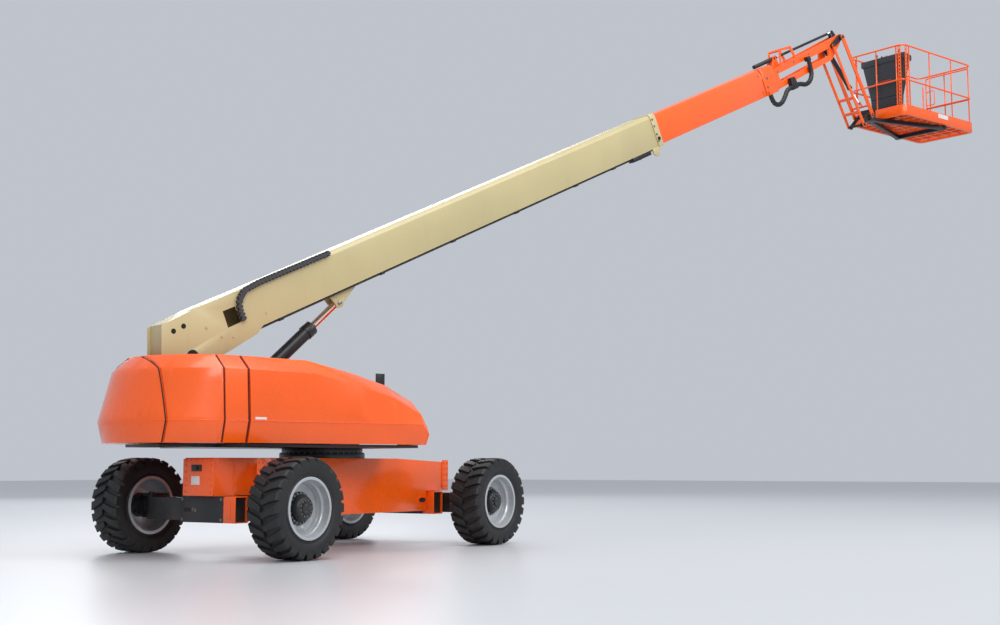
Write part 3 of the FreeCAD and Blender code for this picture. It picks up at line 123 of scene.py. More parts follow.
# frames of the slewed, raised and hung parts, in metres and degrees
layout = {"slew": -16, "pivot": (-1.608, 1.928), "boomAngle": 25.1, "tip": (11.912, 0.366),
          "linkAngle": 57.3, "linkLength": 1.304, "rotator": 0.160}
ground = Matrix.Identity(4)
tableFrame = turned(layout["slew"], "Z")
boomFrame = (tableFrame @ Matrix.Translation((layout["pivot"][0], 0, layout["pivot"][1]))
             @ turned(-layout["boomAngle"], "Y"))
tipPoint = boomFrame @ Vector((layout["tip"][0], 0, layout["tip"][1]))
levelFrame = Matrix.Translation(tipPoint) @ tableFrame
linkFrame = levelFrame @ turned(layout["linkAngle"], "Y")
footFrame = Matrix.Translation(linkFrame @ Vector((layout["linkLength"], 0, 0))) @ tableFrame
platformFrame = footFrame @ Matrix.Translation((layout["rotator"], 0, 0))


# nodes of shader and geometry trees
def newGroup(name, kind, inputs, outputs):
    group = bpy.data.node_groups.new(name, kind)
    for label, socketType, value in inputs:
        socket = group.interface.new_socket(label, in_out="INPUT", socket_type="NodeSocket" + socketType)
        if value is not None:
            socket.default_value = value
    for label, socketType in outputs:
        group.interface.new_socket(label, in_out="OUTPUT", socket_type="NodeSocket" + socketType)
    return group, group.nodes.new("NodeGroupInput"), group.nodes.new("NodeGroupOutput")


def addNode(tree, kind, settings=(), links=(), **values):
    node = tree.nodes.new(kind)
    for key, value in settings:
        setattr(node, key, value)
    for key, value in values.items():
        node.inputs[key.replace("_", " ")].default_value = value
    for key, source in links:
        tree.links.new(source, node.inputs[key])
    return node


def feed(tree, socket, value):
    if isinstance(value, (tuple, float, int)):
        socket.default_value = value
    else:
        tree.links.new(value, socket)


def mathNode(tree, operation, first, second, clamp=False):
    node = tree.nodes.new("ShaderNodeMath")
    node.operation = operation
    node.use_clamp = clamp
    feed(tree, node.inputs[0], first)
    feed(tree, node.inputs[1], second)
    return node.outputs[0]


def mixColor(tree, factor, first, second):
    node = tree.nodes.new("ShaderNodeMix")
    node.data_type = "RGBA"
    # a mix node keeps its factor at 0 and its two colours at 6 and 7
    for slot, value in ((0, factor), (6, first), (7, second)):
        feed(tree, node.inputs[slot], value)
    return node.outputs[2]


def rangeNode(tree, value, low, high, outLow=0.0, outHigh=1.0):
    return addNode(tree, "ShaderNodeMapRange", links=(("Value", value),), From_Min=low, From_Max=high,
                   To_Min=outLow, To_Max=outHigh).outputs[0]


def noiseNode(tree, vector, scale, detail=4.0, roughness=0.55):
    return addNode(tree, "ShaderNodeTexNoise", links=(("Vector", vector),), Scale=scale, Detail=detail,
                   Roughness=roughness).outputs["Fac"]


weatherSettings = {"streakSquash": (7.0, 7.0, 0.8), "streakScale": 1.6, "blotchScale": 2.3, "speckScale": 55.0,
                   "toneScale": 0.9, "tones": (0.93, 1.05), "roughScale": 9.0, "roughSpread": (-0.03, 0.04),
                   "peelScale": 130.0, "lowShare": 1.6, "speckShare": 0.25, "grimeRoughness": 0.45}


def weatherGroup(cfg):
    # grime that gathers low down and in streaks, with a faint change of tone over the surface
    group, entry, leave = newGroup("weather", "ShaderNodeTree", (
        ("Base", "Color", (0.8, 0.2, 0.02, 1)), ("Grime", "Color", (0.16, 0.12, 0.09, 1)),
        ("Amount", "Float", 0.3), ("LowHeight", "Float", 1.2), ("Roughness", "Float", 0.3),
        ("Peel", "Float", 0.02)), (("Color", "Color"), ("Roughness", "Float"), ("Height", "Float")))
    coords = group.nodes.new("ShaderNodeTexCoord").outputs["Object"]
    split = addNode(group, "ShaderNodeSeparateXYZ", links=((0, coords),))
    low = mathNode(group, "DIVIDE", split.outputs["Z"], entry.outputs["LowHeight"])
    low = mathNode(group, "SUBTRACT", 1.0, low, True)
    squash = addNode(group, "ShaderNodeMapping", links=(("Vector", coords),), Scale=cfg["streakSquash"])
    streak = rangeNode(group, noiseNode(group, squash.outputs[0], cfg["streakScale"], 5.0, 0.5), 0.52, 0.78)
    blotch = rangeNode(group, noiseNode(group, coords, cfg["blotchScale"], 6.0, 0.62), 0.42, 0.75)
    speck = rangeNode(group, noiseNode(group, coords, cfg["speckScale"], 3.0), 0.62, 0.75)
    mask = mathNode(group, "ADD", streak, mathNode(group, "MULTIPLY", low, cfg["lowShare"]))
    mask = mathNode(group, "MULTIPLY", mask, blotch)
    mask = mathNode(group, "ADD", mask, mathNode(group, "MULTIPLY", speck, cfg["speckShare"]))
    mask = mathNode(group, "MULTIPLY", mask, entry.outputs["Amount"], True)
    tone = rangeNode(group, noiseNode(group, coords, cfg["toneScale"], 2.0), 0.3, 0.7, *cfg["tones"])
    bright = addNode(group, "ShaderNodeHueSaturation",
                     links=(("Value", tone), ("Color", entry.outputs["Base"])))
    group.links.new(mixColor(group, mask, bright.outputs[0], entry.outputs["Grime"]), leave.inputs["Color"])
    rough = mathNode(group, "MULTIPLY", mask, cfg["grimeRoughness"])
    rough = mathNode(group, "ADD", entry.outputs["Roughness"], rough, True)
    spread = rangeNode(group, noiseNode(group, coords, cfg["roughScale"], 4.0), 0.3, 0.7, *cfg["roughSpread"])
    group.links.new(mathNode(group, "ADD", rough, spread, True), leave.inputs["Roughness"])
    peel = mathNode(group, "MULTIPLY", noiseNode(group, coords, cfg["peelScale"], 2.0), entry.outputs["Peel"])
    group.links.new(peel, leave.inputs["Height"])
    return group


weather = weatherGroup(weatherSettings)
finishes, slotOf = {}, {}


def makeFinish(name, slot, base, roughness, amount=0.3, grime=(0.16, 0.13, 0.1), lowHeight=1.2, peel=0.02,
               bump=0.3, **sockets):
    material = bpy.data.materials.new(name)
    material.use_nodes = True
    tree = material.node_tree
    shader = tree.nodes["Principled BSDF"]
    for key, value in sockets.items():
        shader.inputs[key.replace("_", " ")].default_value = value
    group = tree.nodes.new("ShaderNodeGroup")
    group.node_tree = weather
    for key, value in (("Base", (*base, 1)), ("Grime", (*grime, 1)), ("Amount", amount),
                       ("LowHeight", lowHeight), ("Roughness", roughness), ("Peel", peel)):
        group.inputs[key].default_value = value
    relief = addNode(tree, "ShaderNodeBump", links=(("Height", group.outputs["Height"]),), Strength=bump,
                     Distance=0.01)
    tree.links.new(group.outputs["Color"], shader.inputs["Base Color"])
    tree.links.new(group.outputs["Roughness"], shader.inputs["Roughness"])
    tree.links.new(relief.outputs[0], shader.inputs["Normal"])
    finishes[name] = material
    slotOf[name] = slot


# name, slot of the record, base colour, roughness, amount of grime
makeFinish("orangePaint", "orange", (0.96, 0.112, 0.002), 0.27, 0.11, grime=(0.30, 0.10, 0.04), lowHeight=1.0,
           Coat_Weight=0.4, Coat_Roughness=0.1)
makeFinish("creamPaint", "cream", (0.54, 0.455, 0.235), 0.36, 0.26, grime=(0.28, 0.21, 0.12), Coat_Weight=0.2,
           Coat_Roughness=0.2)
makeFinish("blackPaint", "black_metal", (0.011, 0.012, 0.014), 0.36, 0.45, grime=(0.07, 0.062, 0.055), peel=0.05)
makeFinish("greyRim", "rim_grey", (0.50, 0.52, 0.54), 0.30, 0.25, grime=(0.14, 0.12, 0.10), lowHeight=1.0,
           Metallic=0.4)
makeFinish("tyreRubber", "tyre", (0.0075, 0.0078, 0.0088), 0.52, 0.45, grime=(0.036, 0.033, 0.030), peel=0.4,
           bump=0.5)
makeFinish("chromeRod", "rod", (0.75, 0.76, 0.78), 0.08, 0.05, peel=0.0, Metallic=1.0)
makeFinish("plainSteel", "rim_grey", (0.26, 0.26, 0.27), 0.36, 0.4, grime=(0.09, 0.055, 0.03), Metallic=0.9)
makeFinish("charcoalPlastic", "charcoal", (0.026, 0.030, 0.037), 0.48, 0.3, grime=(0.07, 0.07, 0.07), peel=0.25)
makeFinish("hoseRubber", "rubber", (0.012, 0.012, 0.013), 0.42, 0.35, grime=(0.05, 0.047, 0.043), peel=0.2)
makeFinish("blankPlate", "rim_grey", (0.72, 0.72, 0.70), 0.4, 0.12)
# near-black painted shade for the insides of slots, holes, pin sockets, the boom's mouth and panel joints
makeFinish("paintedGapShade", "black_metal", (0.005, 0.004, 0.004), 0.8, 0.1)
makeFinish("redKnob", "charcoal", (0.50, 0.015, 0.012), 0.25, 0.08, Coat_Weight=0.4)
makeFinish("deckOrange", "orange", (0.55, 0.062, 0.006), 0.45, 0.4)
print("finishes:", len(finishes))

# edges of pieces: bevel segments, angle from which an edge is bevelled, and distances that merge points
edgeSettings = {"segments": 2, "bevelFrom": 35, "merge": 0.00001, "mergeNode": 0.00002, "flatWithin": 0.6}


# helpers for pieces
def bakedMesh(thing):
    graph = bpy.context.evaluated_depsgraph_get()
    graph.update()
    return bpy.data.meshes.new_from_object(thing.evaluated_get(graph))


def addPiece(name, mesh, finish, body, smooth, bevel=0.0):
    piece = addObject(name, mesh)
    if bevel:
        modifier = piece.modifiers.new("edges", "BEVEL")
        modifier.width = bevel
        modifier.segments = edgeSettings["segments"]
        modifier.limit_method = "ANGLE"
        modifier.angle_limit = math.radians(edgeSettings["bevelFrom"])
        baked = bakedMesh(piece)
        piece.modifiers.clear()
        piece.data = baked
    mesh = piece.data
    mesh.materials.clear()
    mesh.materials.append(finishes[finish])
    mesh.polygons.foreach_set("use_smooth", [True] * len(mesh.polygons))
    mesh.set_sharp_from_angle(angle=math.radians(smooth))
    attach(piece, body)
    return piece


def meshFrom(shape, name, outwards=False):
    if outwards:
        bmesh.ops.recalc_face_normals(shape, faces=shape.faces)
    mesh = bpy.data.meshes.new(name)
    shape.to_mesh(mesh)
    shape.free()
    return mesh


def finishShape(name, shape, finish, body, bevel=0.0, smooth=35):
    # merges a bmesh's doubled points and makes it a piece
    bmesh.ops.remove_doubles(shape, verts=shape.verts, dist=edgeSettings["merge"])
    return addPiece(name, meshFrom(shape, name, True), finish, body, smooth, bevel)


def putBox(shape, place, low, high):
    made = bmesh.ops.create_cube(shape, size=1.0)
    middle = [(a + b) / 2 for a, b in zip(low, high)]
    spread = [b - a for a, b in zip(low, high)]
    bmesh.ops.transform(shape, verts=made["verts"],
                        matrix=place @ Matrix.Translation(middle) @ Matrix.Diagonal((*spread, 1)))


def boxPiece(name, place, low, high, finish, body, bevel=0.0):
    shape = bmesh.new()
    putBox(shape, place, low, high)
    return finishShape(name, shape, finish, body, bevel)


def putRod(shape, place, start, end, radius, sides=20, radiusEnd=None):
    first, last = place @ Vector(start), place @ Vector(end)
    run = last - first
    bmesh.ops.create_cone(shape, cap_ends=True, segments=sides, radius1=radius,
                          radius2=radius if radiusEnd is None else radiusEnd, depth=run.length,
                          matrix=Matrix.Translation((first + last) / 2) @ facingMatrix(run, "Z"))


def joinLoops(shape, loops, closed=True):
    # faces between each loop of points and the next, and back to the first if closed
    for here, there in zip(loops, loops[1:] + loops[:1] if closed else loops[1:]):
        for i in range(len(here)):
            j = (i + 1) % len(here)
            shape.faces.new((here[i], here[j], there[j], there[i]))


def putPrism(shape, place, outline, start, end):
    # outline in X and Z, carried along Y
    loops = [[shape.verts.new(place @ Vector((x, y, z))) for x, z in outline] for y in (start, end)]
    shape.faces.new(loops[0])
    shape.faces.new(loops[1][::-1])
    joinLoops(shape, loops, False)


def putLathe(shape, place, profile, sides):
    # a closed loop of radius and Y turned about Y
    angles = [2 * math.pi * i / sides for i in range(sides)]
    joinLoops(shape, [[shape.verts.new(place @ Vector((radius * math.sin(angle), y, radius * math.cos(angle))))
                       for radius, y in profile] for angle in angles])


def nurbsLine(name, points, radius, roundness, steps, order=3):
    data = bpy.data.curves.new(name, "CURVE")
    data.dimensions = "3D"
    data.bevel_depth = radius
    data.bevel_resolution = roundness
    data.resolution_u = steps
    data.use_fill_caps = True
    spline = data.splines.new("NURBS")
    spline.points.add(len(points) - 1)
    for target, point in zip(spline.points, points):
        target.co = (*point, 1)
    spline.order_u = order
    spline.use_endpoint_u = True
    return data


def linePiece(name, place, points, radius, finish, body, order=3):
    # a bent bar or pipe on a smooth spline
    data = nurbsLine(name, [place @ Vector(point) for point in points], radius, 4, 10, order)
    bender = addObject(name + "Line", data)
    mesh = bakedMesh(bender)
    bpy.data.objects.remove(bender)
    return addPiece(name, mesh, finish, body, 50)


def newTree(name, *inputs):
    # a geometry tree that takes a shape and a material and gives a shape
    return newGroup(name, "GeometryNodeTree", (("Geometry", "Geometry", None), *inputs,
                                               ("Material", "Material", None)), (("Geometry", "Geometry"),))


def alignNode(tree, vector):
    return addNode(tree, "FunctionNodeAlignRotationToVector", (("axis", "Z"),),
                   links=(("Vector", vector),)).outputs[0]


def endWithCopies(tree, entry, leave, points, instance, rotation=None):
    # puts the instance on the points, makes the copies real and gives them the material
    spread = addNode(tree, "GeometryNodeInstanceOnPoints", links=(("Points", points), ("Instance", instance)))
    if rotation is not None:
        tree.links.new(rotation, spread.inputs["Rotation"])
    solid = addNode(tree, "GeometryNodeRealizeInstances", links=((0, spread.outputs[0]),))
    paint = addNode(tree, "GeometryNodeSetMaterial",
                    links=(("Geometry", solid.outputs[0]), ("Material", entry.outputs["Material"])))
    tree.links.new(paint.outputs[0], leave.inputs[0])
    return tree


def treeMesh(name, source, tree, values):
    # runs a geometry tree on a mesh or curve and hands back the plain mesh
    holder = addObject(name + "Seed", source)
    modifier = holder.modifiers.new(tree.name, "NODES")
    modifier.node_group = tree
    for item in tree.interface.items_tree:
        if item.item_type == "SOCKET" and item.in_out == "INPUT" and item.name in values:
            modifier[item.identifier] = values[item.name]
    mesh = bakedMesh(holder)
    bpy.data.objects.remove(holder)
    return mesh


def nodeMesh(node):
    # merged copy of a rigid node's triangles, with its flat faces rejoined
    shape = bmesh.new()
    shape.from_mesh(frame["nodes"][node].data)
    bmesh.ops.remove_doubles(shape, verts=shape.verts, dist=edgeSettings["mergeNode"])
    bmesh.ops.dissolve_limit(shape, angle_limit=math.radians(edgeSettings["flatWithin"]), verts=shape.verts,
                             edges=shape.edges)
    return meshFrom(shape, node + "Copy")


bodyOf = {node: body for body, nodes in frame["record"]["behaviour"]["bodies"].items() for node in nodes}
# corner of the chassis and the side that it is on
corners = (("end_a_near", -1), ("end_a_far", 1), ("end_b_near", -1), ("end_b_far", 1))
sides = (("Near", -1), ("Far", 1))


def dressNode(node, finish, bevel=0.0, smooth=40):
    # a clean copy of a rigid node with softened edges stands for it
    piece = addPiece(node + "Skin", nodeMesh(node), finish, bodyOf[node], smooth, bevel)
    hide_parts(node)


# hose loops at the boom's nose, each a curve laid between two fixed ends
hoseSettings = {"radius": 0.032, "offset": -0.142, "bandRadius": 0.0345, "bandWidth": 0.012, "bands": 15,
                "lower": ((9.865, 0.004), (9.865, -0.070), (9.905, -0.150), (9.990, -0.182), (10.090, -0.160),
                          (10.180, -0.100), (10.280, -0.022), (10.375, -0.022)),
                "upper": ((10.505, -0.022), (10.596, -0.022), (10.700, -0.070), (10.805, -0.066),
                          (10.895, -0.018), (10.955, 0.080), (10.955, 0.235)),
                "lengths": {"lower": 0.675, "upper": 0.673}}


def bandTree():
    # thin bands wound round a hose at even steps
    tree, entry, leave = newTree("hoseBands", ("Count", "Int", 12), ("Radius", "Float", 0.03),
                                 ("Width", "Float", 0.01))
    steps = addNode(tree, "GeometryNodeResampleCurve",
                    links=(("Curve", entry.outputs["Geometry"]), ("Count", entry.outputs["Count"])))
    band = addNode(tree, "GeometryNodeMeshCylinder",
                   links=(("Radius", entry.outputs["Radius"]), ("Depth", entry.outputs["Width"])), Vertices=24)
    aim = alignNode(tree, tree.nodes.new("GeometryNodeInputTangent").outputs[0])
    return endWithCopies(tree, entry, leave, steps.outputs[0], band.outputs["Mesh"], aim)


hoseBands = bandTree()
for side in ("lower", "upper"):
    route = [boomFrame @ Vector((along, hoseSettings["offset"], up)) for along, up in hoseSettings[side]]
    data = nurbsLine("hose" + side.capitalize(), route, hoseSettings["radius"], 7, 16)
    hose = addObject("hose" + side.capitalize(), data)
    data.materials.append(finishes["hoseRubber"])
    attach(hose, "fly_boom_body")
    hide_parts("hose_loop_" + side)
    bands = treeMesh(side + "Bands", nurbsLine(side + "BandLine", route, 0, 7, 16), hoseBands,
                     {"Count": hoseSettings["bands"], "Radius": hoseSettings["bandRadius"],
                      "Width": hoseSettings["bandWidth"], "Material": finishes["hoseRubber"]})
    bandPiece = addPiece(side + "HoseBands", bands, "hoseRubber", "fly_boom_body", 40)
print("hose loops laid")

# rigid nodes by finish: node, bevel, smooth angle
skins = {"orangePaint": (("chassis_frame", 0.006, 30), ("tail_counterweight", 0.016, 22), ("hood_near", 0.012, 17),
                         ("hood_far", 0.012, 17), ("mid_boom", 0.004, 30), ("fly_boom", 0.004, 30),
                         ("fly_nose", 0.003, 30), ("jib_front_link", 0.003, 30), ("jib_rear_link", 0.003, 30),
                         ("platform_floor", 0.002, 30), ("platform_rails", 0, 40), ("platform_gate", 0, 40),
                         ("axle_sleeves_end_a", 0.002, 30), ("axle_sleeves_end_b", 0.002, 30)),
         "creamPaint": (("base_boom", 0.004, 30),),
         "charcoalPlastic": (("control_console", 0.010, 30),),
         "blackPaint": (("turntable_frame", 0.004, 30), ("level_knuckle", 0.003, 30),
                        ("platform_bracket", 0.003, 30), ("platform_swing_frame", 0.004, 30),
                        ("lift_barrel", 0.002, 40), ("jib_barrel", 0.001, 40), ("level_barrel", 0.001, 40),
                        ("slew_ring_lower", 0.002, 40), ("slew_ring_upper", 0.002, 40),
                        ("hydraulic_tank", 0.01, 30), ("axle_housing_end_a", 0.003, 30),
                        ("axle_housing_end_b", 0.003, 30), ("hose_clamp", 0.004, 30)),
         "chromeRod": (("lift_rod", 0, 40), ("jib_rod", 0, 40), ("level_rod", 0, 40)),
         "plainSteel": (("ram_foot_pin", 0.001, 40), ("engine_block", 0.01, 30))}
for finish, rows in skins.items():
    for node, bevel, smooth in rows:
        dressNode(node, finish, bevel, smooth)
for corner, side in corners:
    for stem, finish, bevel in (("rim_", "greyRim", 0), ("hub_", "blackPaint", 0), ("beam_", "blackPaint", 0.004),
                                ("knuckle_", "blackPaint", 0.003)):
        dressNode(stem + corner, finish, bevel)
print("nodes dressed:", sum(len(rows) for rows in skins.values()) + 4 * len(corners))


# shared ways to set pieces on the frame
def wheelFrame(corner, side):
    low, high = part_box("tyre_" + corner)
    centre = [(a + b) / 2 for a, b in zip(low, high)]
    return Matrix.Translation(centre) @ turned(0 if side > 0 else 180, "Z")


surfaces = {}


def landed(node, place, start, aim):
    # where a line from start along aim, both in the frame place, meets a node, and which way it faces there
    start, aim = place @ Vector(start), place.to_3x3() @ Vector(aim)
    if node not in surfaces:
        mesh = frame["nodes"][node].data
        surfaces[node] = BVHTree.FromPolygons([v.co for v in mesh.vertices],
                                              [p.vertices for p in mesh.polygons])
    point, normal = surfaces[node].ray_cast(start, aim)[:2]
    if point is None:
        print("nothing hit on", node, "from", [round(c, 3) for c in start])
        return start, -aim
    return point, normal


def onSurface(node, place, start, aim, upHint=(0, 0, 1)):
    # a frame on a node's face: Y outwards, Z along upHint
    point, normal = landed(node, place, start, aim)
    upward = place.to_3x3() @ Vector(upHint)
    upward = (upward - normal * upward.dot(normal)).normalized()
    return Matrix.Translation(point) @ Matrix((normal.cross(upward), normal, upward)).transposed().to_4x4()


# parts of a bolt's height and radius: the washer's thickness, and how far the head is lifted
boltShape = {"washerShare": 0.4, "lift": 0.55, "headSides": 6, "washerSides": 14}


def boltTree(cfg):
    # hexagon heads on washers at points that know which way they face
    tree, entry, leave = newTree("boltHeads", ("Size", "Float", 0.01), ("Height", "Float", 0.008),
                                 ("Washer", "Float", 1.5))
    size, height = entry.outputs["Size"], entry.outputs["Height"]
    head = addNode(tree, "GeometryNodeMeshCylinder", links=(("Radius", size), ("Depth", height)),
                   Vertices=cfg["headSides"])
    lift = addNode(tree, "ShaderNodeCombineXYZ", links=(("Z", mathNode(tree, "MULTIPLY", height, cfg["lift"])),))
    raised = addNode(tree, "GeometryNodeTransform",
                     links=(("Geometry", head.outputs["Mesh"]), ("Translation", lift.outputs[0])))
    washer = addNode(tree, "GeometryNodeMeshCylinder",
                     links=(("Radius", mathNode(tree, "MULTIPLY", size, entry.outputs["Washer"])),
                            ("Depth", mathNode(tree, "MULTIPLY", height, cfg["washerShare"]))),
                     Vertices=cfg["washerSides"])
    bolt = tree.nodes.new("GeometryNodeJoinGeometry")
    tree.links.new(raised.outputs[0], bolt.inputs[0])
    tree.links.new(washer.outputs["Mesh"], bolt.inputs[0])
    facing = addNode(tree, "GeometryNodeInputNamedAttribute", (("data_type", "FLOAT_VECTOR"),), Name="facing")
    return endWithCopies(tree, entry, leave, entry.outputs["Geometry"], bolt.outputs[0],
                         alignNode(tree, facing.outputs[0]))


boltHeads = boltTree(boltShape)


def boltsAt(name, spots, body, size=0.009, height=0.007, washer=1.5, finish="plainSteel"):
    # bolts at spots, each a point and the way it faces
    mesh = bpy.data.meshes.new(name + "Spots")
    mesh.from_pydata([point for point, facing in spots], [], [])
    facings = mesh.attributes.new("facing", "FLOAT_VECTOR", "POINT")
    for row, (point, facing) in zip(facings.data, spots):
        row.vector = facing
    made = treeMesh(name, mesh, boltHeads, {"Size": size, "Height": height, "Washer": washer,
                                            "Material": finishes[finish]})
    return addPiece(name, made, finish, body, 30)


def boltsOnto(name, node, place, starts, aim, **sizes):
    # bolts that land on a node's surface from points in the frame place
    return boltsAt(name, [landed(node, place, start, aim) for start in starts], bodyOf[node], **sizes)


def ringSpots(place, radius, height, count, start=0.0, upward=False):
    # spots on a ring about Y, or about Z if upward
    turn = place.to_3x3()
    spots = []
    for i in range(count):
        angle = 2 * math.pi * i / count + start
        a, b = radius * math.cos(angle), radius * math.sin(angle)
        point, facing = ((a, b, height), (0, 0, 1)) if upward else ((b, height, a), (0, 1, 0))
        spots.append((place @ Vector(point), turn @ Vector(facing)))
    return spots


# tyres: rounded carcass with two staggered rows of slanted lugs that wrap over the shoulder
tyreSettings = {
    "halfProfile": ((0.2745, 0.148), (0.290, 0.160), (0.298, 0.171), (0.306, 0.172), (0.312, 0.1675),
                    (0.326, 0.174), (0.330, 0.1775), (0.345, 0.1825), (0.368, 0.1868), (0.392, 0.1868),
                    (0.414, 0.1825), (0.430, 0.172), (0.440, 0.156), (0.4430, 0.120), (0.4435, 0.0)),
    # half width, slant along the tread, half the bar's width, top and root radius
    "bar": ((0.006, 0.000, 0.022, 0.4695, 0.430), (0.030, 0.010, 0.028, 0.4705, 0.430),
            (0.090, 0.036, 0.032, 0.4705, 0.430), (0.140, 0.052, 0.036, 0.4690, 0.430),
            (0.168, 0.060, 0.039, 0.4650, 0.425), (0.184, 0.066, 0.040, 0.4520, 0.415),
            (0.1875, 0.070, 0.038, 0.4040, 0.390)),
    "count": 24, "chamfer": 0.004, "flare": 0.006, "slantRadius": 0.45, "sides": 72}


def treadTree():
    # copies of one pair of bars turned about the axle
    tree, entry, leave = newTree("tread", ("Count", "Int", 24), ("Step", "Float", 0.26))
    line = addNode(tree, "GeometryNodeMeshLine", links=(("Count", entry.outputs["Count"]),), Offset=(0, 0, 0))
    index = tree.nodes.new("GeometryNodeInputIndex").outputs[0]
    angles = addNode(tree, "ShaderNodeCombineXYZ",
                     links=(("Y", mathNode(tree, "MULTIPLY", index, entry.outputs["Step"])),))
    rotation = addNode(tree, "FunctionNodeEulerToRotation", links=((0, angles.outputs[0]),))
    return endWithCopies(tree, entry, leave, line.outputs[0], entry.outputs["Geometry"], rotation.outputs[0])


def barPair(cfg):
    shape = bmesh.new()
    step = 2 * math.pi / cfg["count"]
    edge, flare = cfg["chamfer"], cfg["flare"]
    for side in (-1, 1):
        middle = math.pi + (0.5 * step if side > 0 else 0)
        loops = []
        for across, slant, half, top, root in cfg["bar"]:
            cut = (top + root) / 2
            section = ((-half - flare, root), (-half, cut), (-half, top - edge), (edge - half, top),
                       (half - edge, top), (half, top - edge), (half, cut), (half + flare, root))
            loop = []
            for along, radius in section:
                angle = middle - (slant + along) / cfg["slantRadius"]
                loop.append(shape.verts.new((radius * math.sin(angle), side * across, radius * math.cos(angle))))
            loops.append(loop)
        joinLoops(shape, loops, False)
        shape.faces.new(loops[0])
        shape.faces.new(loops[-1][::-1])
    return meshFrom(shape, "barPair", True)


def makeTyres(cfg):
    tread = treeMesh("tread", barPair(cfg), treadTree(),
                     {"Count": cfg["count"], "Step": 2 * math.pi / cfg["count"],
                      "Material": finishes["tyreRubber"]})
    profile = list(cfg["halfProfile"])
    profile += [(radius, -across) for radius, across in reversed(profile[:-1])]
    for corner, side in corners:
        shape = bmesh.new()
        putLathe(shape, ground, profile, cfg["sides"])
        bmesh.ops.recalc_face_normals(shape, faces=shape.faces)
        shape.from_mesh(tread)
        mesh = meshFrom(shape, "tyre" + corner)
        mesh.transform(wheelFrame(corner, side))
        piece = addPiece("tyre_" + corner + "Tread", mesh, "tyreRubber", bodyOf["tyre_" + corner], 28)
        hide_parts("tyre_" + corner)


makeTyres(tyreSettings)
print("tyres made")

# wheel bolts, valve stems and the step ring inside each rim
wheelSettings = {
    # name, ring radius, face, count, first angle, size, height, washer
    "rings": (("nuts_", 0.137, 0.041, 20, 0.0, 0.0105, 0.014, 1.3),
              ("hubBolts_", 0.075, 0.120, 12, 0.2, 0.007, 0.007, 1.2),
              ("capBolts_", 0.034, 0.133, 3, 0.5, 0.006, 0.005, 1.2)),
    "stemAt": (0.1985, 0.027), "stemAngle": 0.7,
    # start, end, radius at each
    "stem": ((-0.002, 0.038, 0.0055, 0.0055), (0.018, 0.042, 0.0075, 0.0065)),
    "stepRing": ((0.2385, 0.026), (0.2385, 0.052), (0.233, 0.052), (0.229, 0.036), (0.222, 0.026)),
    "sides": 72, "slewRing": (0.4375, 0.986, 40), "slewBolt": (0.0062, 0.009, 1.0)}


def makeWheelParts(cfg):
    for corner, side in corners:
        place = wheelFrame(corner, side)
        for name, radius, face, count, start, size, height, washer in cfg["rings"]:
            boltsAt(name + corner, ringSpots(place, radius, face, count, start), bodyOf["hub_" + corner], size,
                    height, washer)
        shape = bmesh.new()
        putLathe(shape, place, cfg["stepRing"], cfg["sides"])
        finishShape("rimStep_" + corner, shape, "greyRim", bodyOf["rim_" + corner], 0, 30)
        shape = bmesh.new()
        radius, face = cfg["stemAt"]
        low = place @ Matrix.Rotation(cfg["stemAngle"], 4, "Y") @ Matrix.Translation((0, face, radius))
        for start, end, wide, narrow in cfg["stem"]:
            putRod(shape, low, (0, start, 0), (0, end, 0), wide, 12, narrow)
        finishShape("valve_" + corner, shape, "plainSteel", bodyOf["rim_" + corner], 0, 30)
    boltsAt("slewBolts", ringSpots(ground, *cfg["slewRing"], upward=True), bodyOf["slew_ring_lower"],
            *cfg["slewBolt"])


makeWheelParts(wheelSettings)
print("wheel parts made")

# chassis: nose flange, latch, blank plate, slots and bolt strips
noseSettings = {"face": -1.745, "boltSides": 0.172, "boltRows": (0.612, 0.675, 0.738, 0.801, 0.864, 0.905),
                "topBolts": (-0.115, -0.04, 0.04, 0.115), "topRow": 0.918,
                # low and high corner in Y and Z, and how far each stands out
                "latch": ((-0.048, 0.808), (0.086, 0.870), 0.008),
                "handle": ((-0.003, 0.822), (0.032, 0.856), 0.024), "handleFoot": -0.007,
                "plate": ((-0.023, 0.681), (0.090, 0.763), 0.003)}


def makeNose(cfg):
    face = cfg["face"]
    spots = [((face, side * cfg["boltSides"], z), (-1, 0, 0)) for side in (-1, 1) for z in cfg["boltRows"]]
    spots += [((face, y, cfg["topRow"]), (-1, 0, 0)) for y in cfg["topBolts"]]
    boltsAt("noseBolts", spots, "chassis", 0.0085, 0.007, 1.5, "orangePaint")
    shape = bmesh.new()
    for key, foot in (("latch", 0), ("handle", cfg["handleFoot"])):
        low, high, proud = cfg[key]
        putBox(shape, ground, (face - proud, *low), (face + foot, *high))
    finishShape("noseLatch", shape, "blackPaint", "chassis", 0.002)
    low, high, proud = cfg["plate"]
    boxPiece("nosePlate", ground, (face - proud, *low), (face, *high), "blankPlate", "chassis", 0.001)


def slotOutline(length, height, steps=6):
    # a slot with round ends in its own plane
    radius = height / 2
    points = []
    for start, middle in ((-90, length / 2 - radius), (90, radius - length / 2)):
        for i in range(steps + 1):
            angle = math.radians(start + 180 * i / steps)
            points.append((middle + radius * math.cos(angle), radius * math.sin(angle)))
    return points


# how deep a slot's plate sits in the face, how far it and its rim stand out
slotSettings = {"sunk": 0.002, "proud": 0.002, "rimProud": 0.006}


